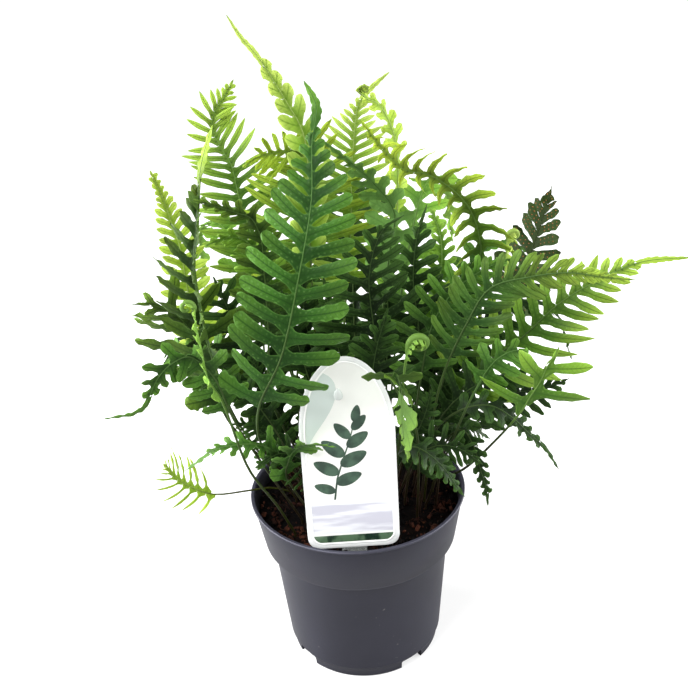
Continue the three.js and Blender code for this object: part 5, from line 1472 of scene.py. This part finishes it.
layers = [
    (math_node(skin, "MINIMUM", aged, 0.9), tip),
    # Painted shade: the lobes turn towards the veins' green near the rib, where shade falls between them.
    (ramp(skin, t, 0.42, 0.05, 0, 0.6), vein),
    (times(skin, ramp(skin, spread, 0.78, 1.0), 0.3), edge),
    (times(skin, side_mask, 0.22), vein),
    (times(skin, ramp(skin, spread, 0.17, 0.03), 0.7), vein),
    (times(skin, spots, 0.26), edge),
    (ramp(skin, spread, 1.5, 1.6), stem),
    (times(skin, under, 0.45), edge),
]
for cover, colour in layers:
    tint = mix_colour(skin, cover, tint, colour)
matt = plus(skin, times(skin, under, 0.25), LEAF_GLOSS)
ridge = plus(skin, times(skin, side_mask, -0.5), times(skin, fine, 0.35))
wire(skin, result, Colour=tint, Roughness=plus(skin, times(skin, fine, 0.22), matt),
     Height=plus(skin, ridge, times(skin, spots, 1.2)))


def leaf_finish(name, deep, fresh, tip, vein, edge, through, rise, start=0.3, reach=0.55):
    """A leaf material: the skin pattern in its own greens, glossy above and letting some light through."""
    made, tree, shader = new_material(name, Specular_IOR_Level=0.12)
    greens = dict(Deep=(*deep, 1), Fresh=(*fresh, 1), Tip=(*tip, 1), Vein=(*vein, 1), Edge=(*edge, 1))
    look = node(tree, "ShaderNodeGroup", {"node_tree": skin}, Rise=rise, Start=start, Reach=reach,
                **greens).outputs
    wire(tree, shader, Base_Color=look["Colour"], Roughness=look["Roughness"])
    add_bump(tree, shader, look["Height"], 0.45, 0.0003)
    lit = mix_colour(tree, 0.6, look["Colour"], (*tip, 1))
    glow = node(tree, "ShaderNodeBsdfTranslucent", None, Color=lit)
    mixed = node(tree, "ShaderNodeMixShader", None, i0=through, i1=shader.outputs[0], i2=glow.outputs[0])
    wire(tree, tree.nodes["Material Output"], Surface=mixed.outputs[0])
    return made


leaf_finishes = {name: leaf_finish(f"leaf_{name}", *greens) for name, greens in LEAF_GREENS.items()}
for frond in FRONDS + back_fronds():
    name = frond["name"]
    leafy = {**USUAL_LOOK, **frond, **LOOKS.get(name, {})}
    leafy["pairs"] = round(frond["pairs"] * leafy["density"])
    piece, lobes = grow_frond(leafy, *frond_over_solid(frond))
    piece.data.materials.append(leaf_finishes[leafy.get("finish", frond["green"])])
    finish_piece(piece, name.replace("frond", "leafy").replace("crozier", "curled"),
                 "frond_" + frond["green"], name)
    if name == "frond_right_spore":
        spore_lobes = lobes

# Undergrowth: short dark fronds low in the heart of the crown, behind the taller ones. They only
# close the gaps between the stalks, so no solid stands for them. Each row gives where the frond
# stands, its longest lobe, how its lobes taper, and the points that its rib passes.
UNDERGROWTH = [
    ((-8, 2), 19, 1.8, (-12, 2, 135), (-20, 4, 165), (-27, 5, 195), (-32, 6, 222), (-36, 6, 240)),
    ((-20, 4), 20, 1.8, (-28, 4, 130), (-40, 2, 155), (-50, 0, 180), (-56, -2, 208)),
    ((-4, -4), 17, 1.8, (-6, -4, 130), (-14, -4, 150), (-24, -6, 172), (-36, -8, 186), (-46, -12, 190)),
    ((24, 6), 20, 1.8, (32, 8, 130), (42, 8, 155), (48, 8, 180), (50, 8, 205), (50, 8, 225)),
    ((30, 14), 20, 1.8, (40, 16, 130), (54, 16, 155), (62, 14, 178), (66, 12, 200)),
    ((6, 4), 20, 1.8, (6, 4, 140), (0, 4, 170), (-6, 4, 200), (-10, 6, 225), (-12, 8, 245)),
    ((-28, -2), 16, 1.8, (-36, -2, 128), (-48, -4, 148), (-60, -6, 160), (-70, -10, 164)),
    ((-6, 8), 22, 1.8, (-10, 8, 140), (-18, 10, 180), (-23, 10, 210), (-24, 8, 235), (-22, 6, 255)),
    ((-24, 10), 24, 4, (-34, 10, 140), (-50, 8, 180), (-62, 6, 215), (-72, 4, 250)),
    ((16, -14), 15, 1.8, (22, -16, 125), (32, -18, 148), (40, -20, 168), (44, -22, 186)),
    ((18, 18), 20, 1.8, (20, 20, 140), (22, 22, 180), (24, 22, 220), (26, 22, 250), (28, 22, 275)),
    ((30, 6), 22, 1.8, (36, 6, 130), (50, 4, 165), (60, 4, 200), (66, 4, 232), (70, 4, 250)),
]
UNBENT = [(0, 1)]
for count, (at, lobe, taper, *rib) in enumerate(UNDERGROWTH, 1):
    frond = frond_row(f"undergrowth_{count}", at, 0.38, 9, lobe, (0, -0.85, 0.5), "dark", *rib, slim=0.3,
                      taper=taper, **USUAL_LOOK)
    piece = grow_frond(frond, (0, 0), {1: UNBENT, -1: UNBENT})[0]
    piece.data.materials.append(leaf_finishes["dark"])
    finish_piece(piece, frond["name"], "frond_dark")

# Spore heaps: low rust brown domes in two rows under each lobe of one frond on the right, whose
# under face looks forward.
DOME_SIZE = (0.46, 0.46, 0.3)
DOME_STEP = 3.4
RUST_DARK = (0.11, 0.040, 0.006, 1)
RUST_BRIGHT = (0.34, 0.120, 0.018, 1)


def spore_domes(points, under):
    """Domes on the under face of a lobe, from its grid of points."""
    columns = len(LOBE_COLUMNS)
    lower = points[len(points) // 2:].reshape(-1, columns, 3)
    side = unit(np.cross(under, (0.2, 0.3, 0.9)))
    turned = (ball * DOME_SIZE) @ np.array([side, np.cross(under, side), under])
    domes = []
    for column in (1, columns - 2):
        line = lower[3:-3, column] * 0.6 + lower[3:-3, columns // 2] * 0.4
        lengths = np.concatenate([[0], np.cumsum(np.linalg.norm(np.diff(line, axis=0), axis=1))])
        for spot in np.arange(0.6, lengths[-1], DOME_STEP):
            domes.append(turned + [np.interp(spot, lengths, line[:, axis]) for axis in range(3)])
    return domes


domes = [dome for points, over in spore_lobes for dome in spore_domes(points, -over)]
spores = many_balls("spore_heaps", domes)
smooth_by_angle(spores, 80)
rust, tree, shader = new_material("spore_rust", Roughness=0.8)
grains = mottle(tree, object_place(tree), 1600, 2, (0.35, 0.65), RUST_DARK, RUST_BRIGHT)
wire(tree, shader, Base_Color=grains)
spores.data.materials.append(rust)
finish_piece(spores, "spore_heaps", "frond_dark")
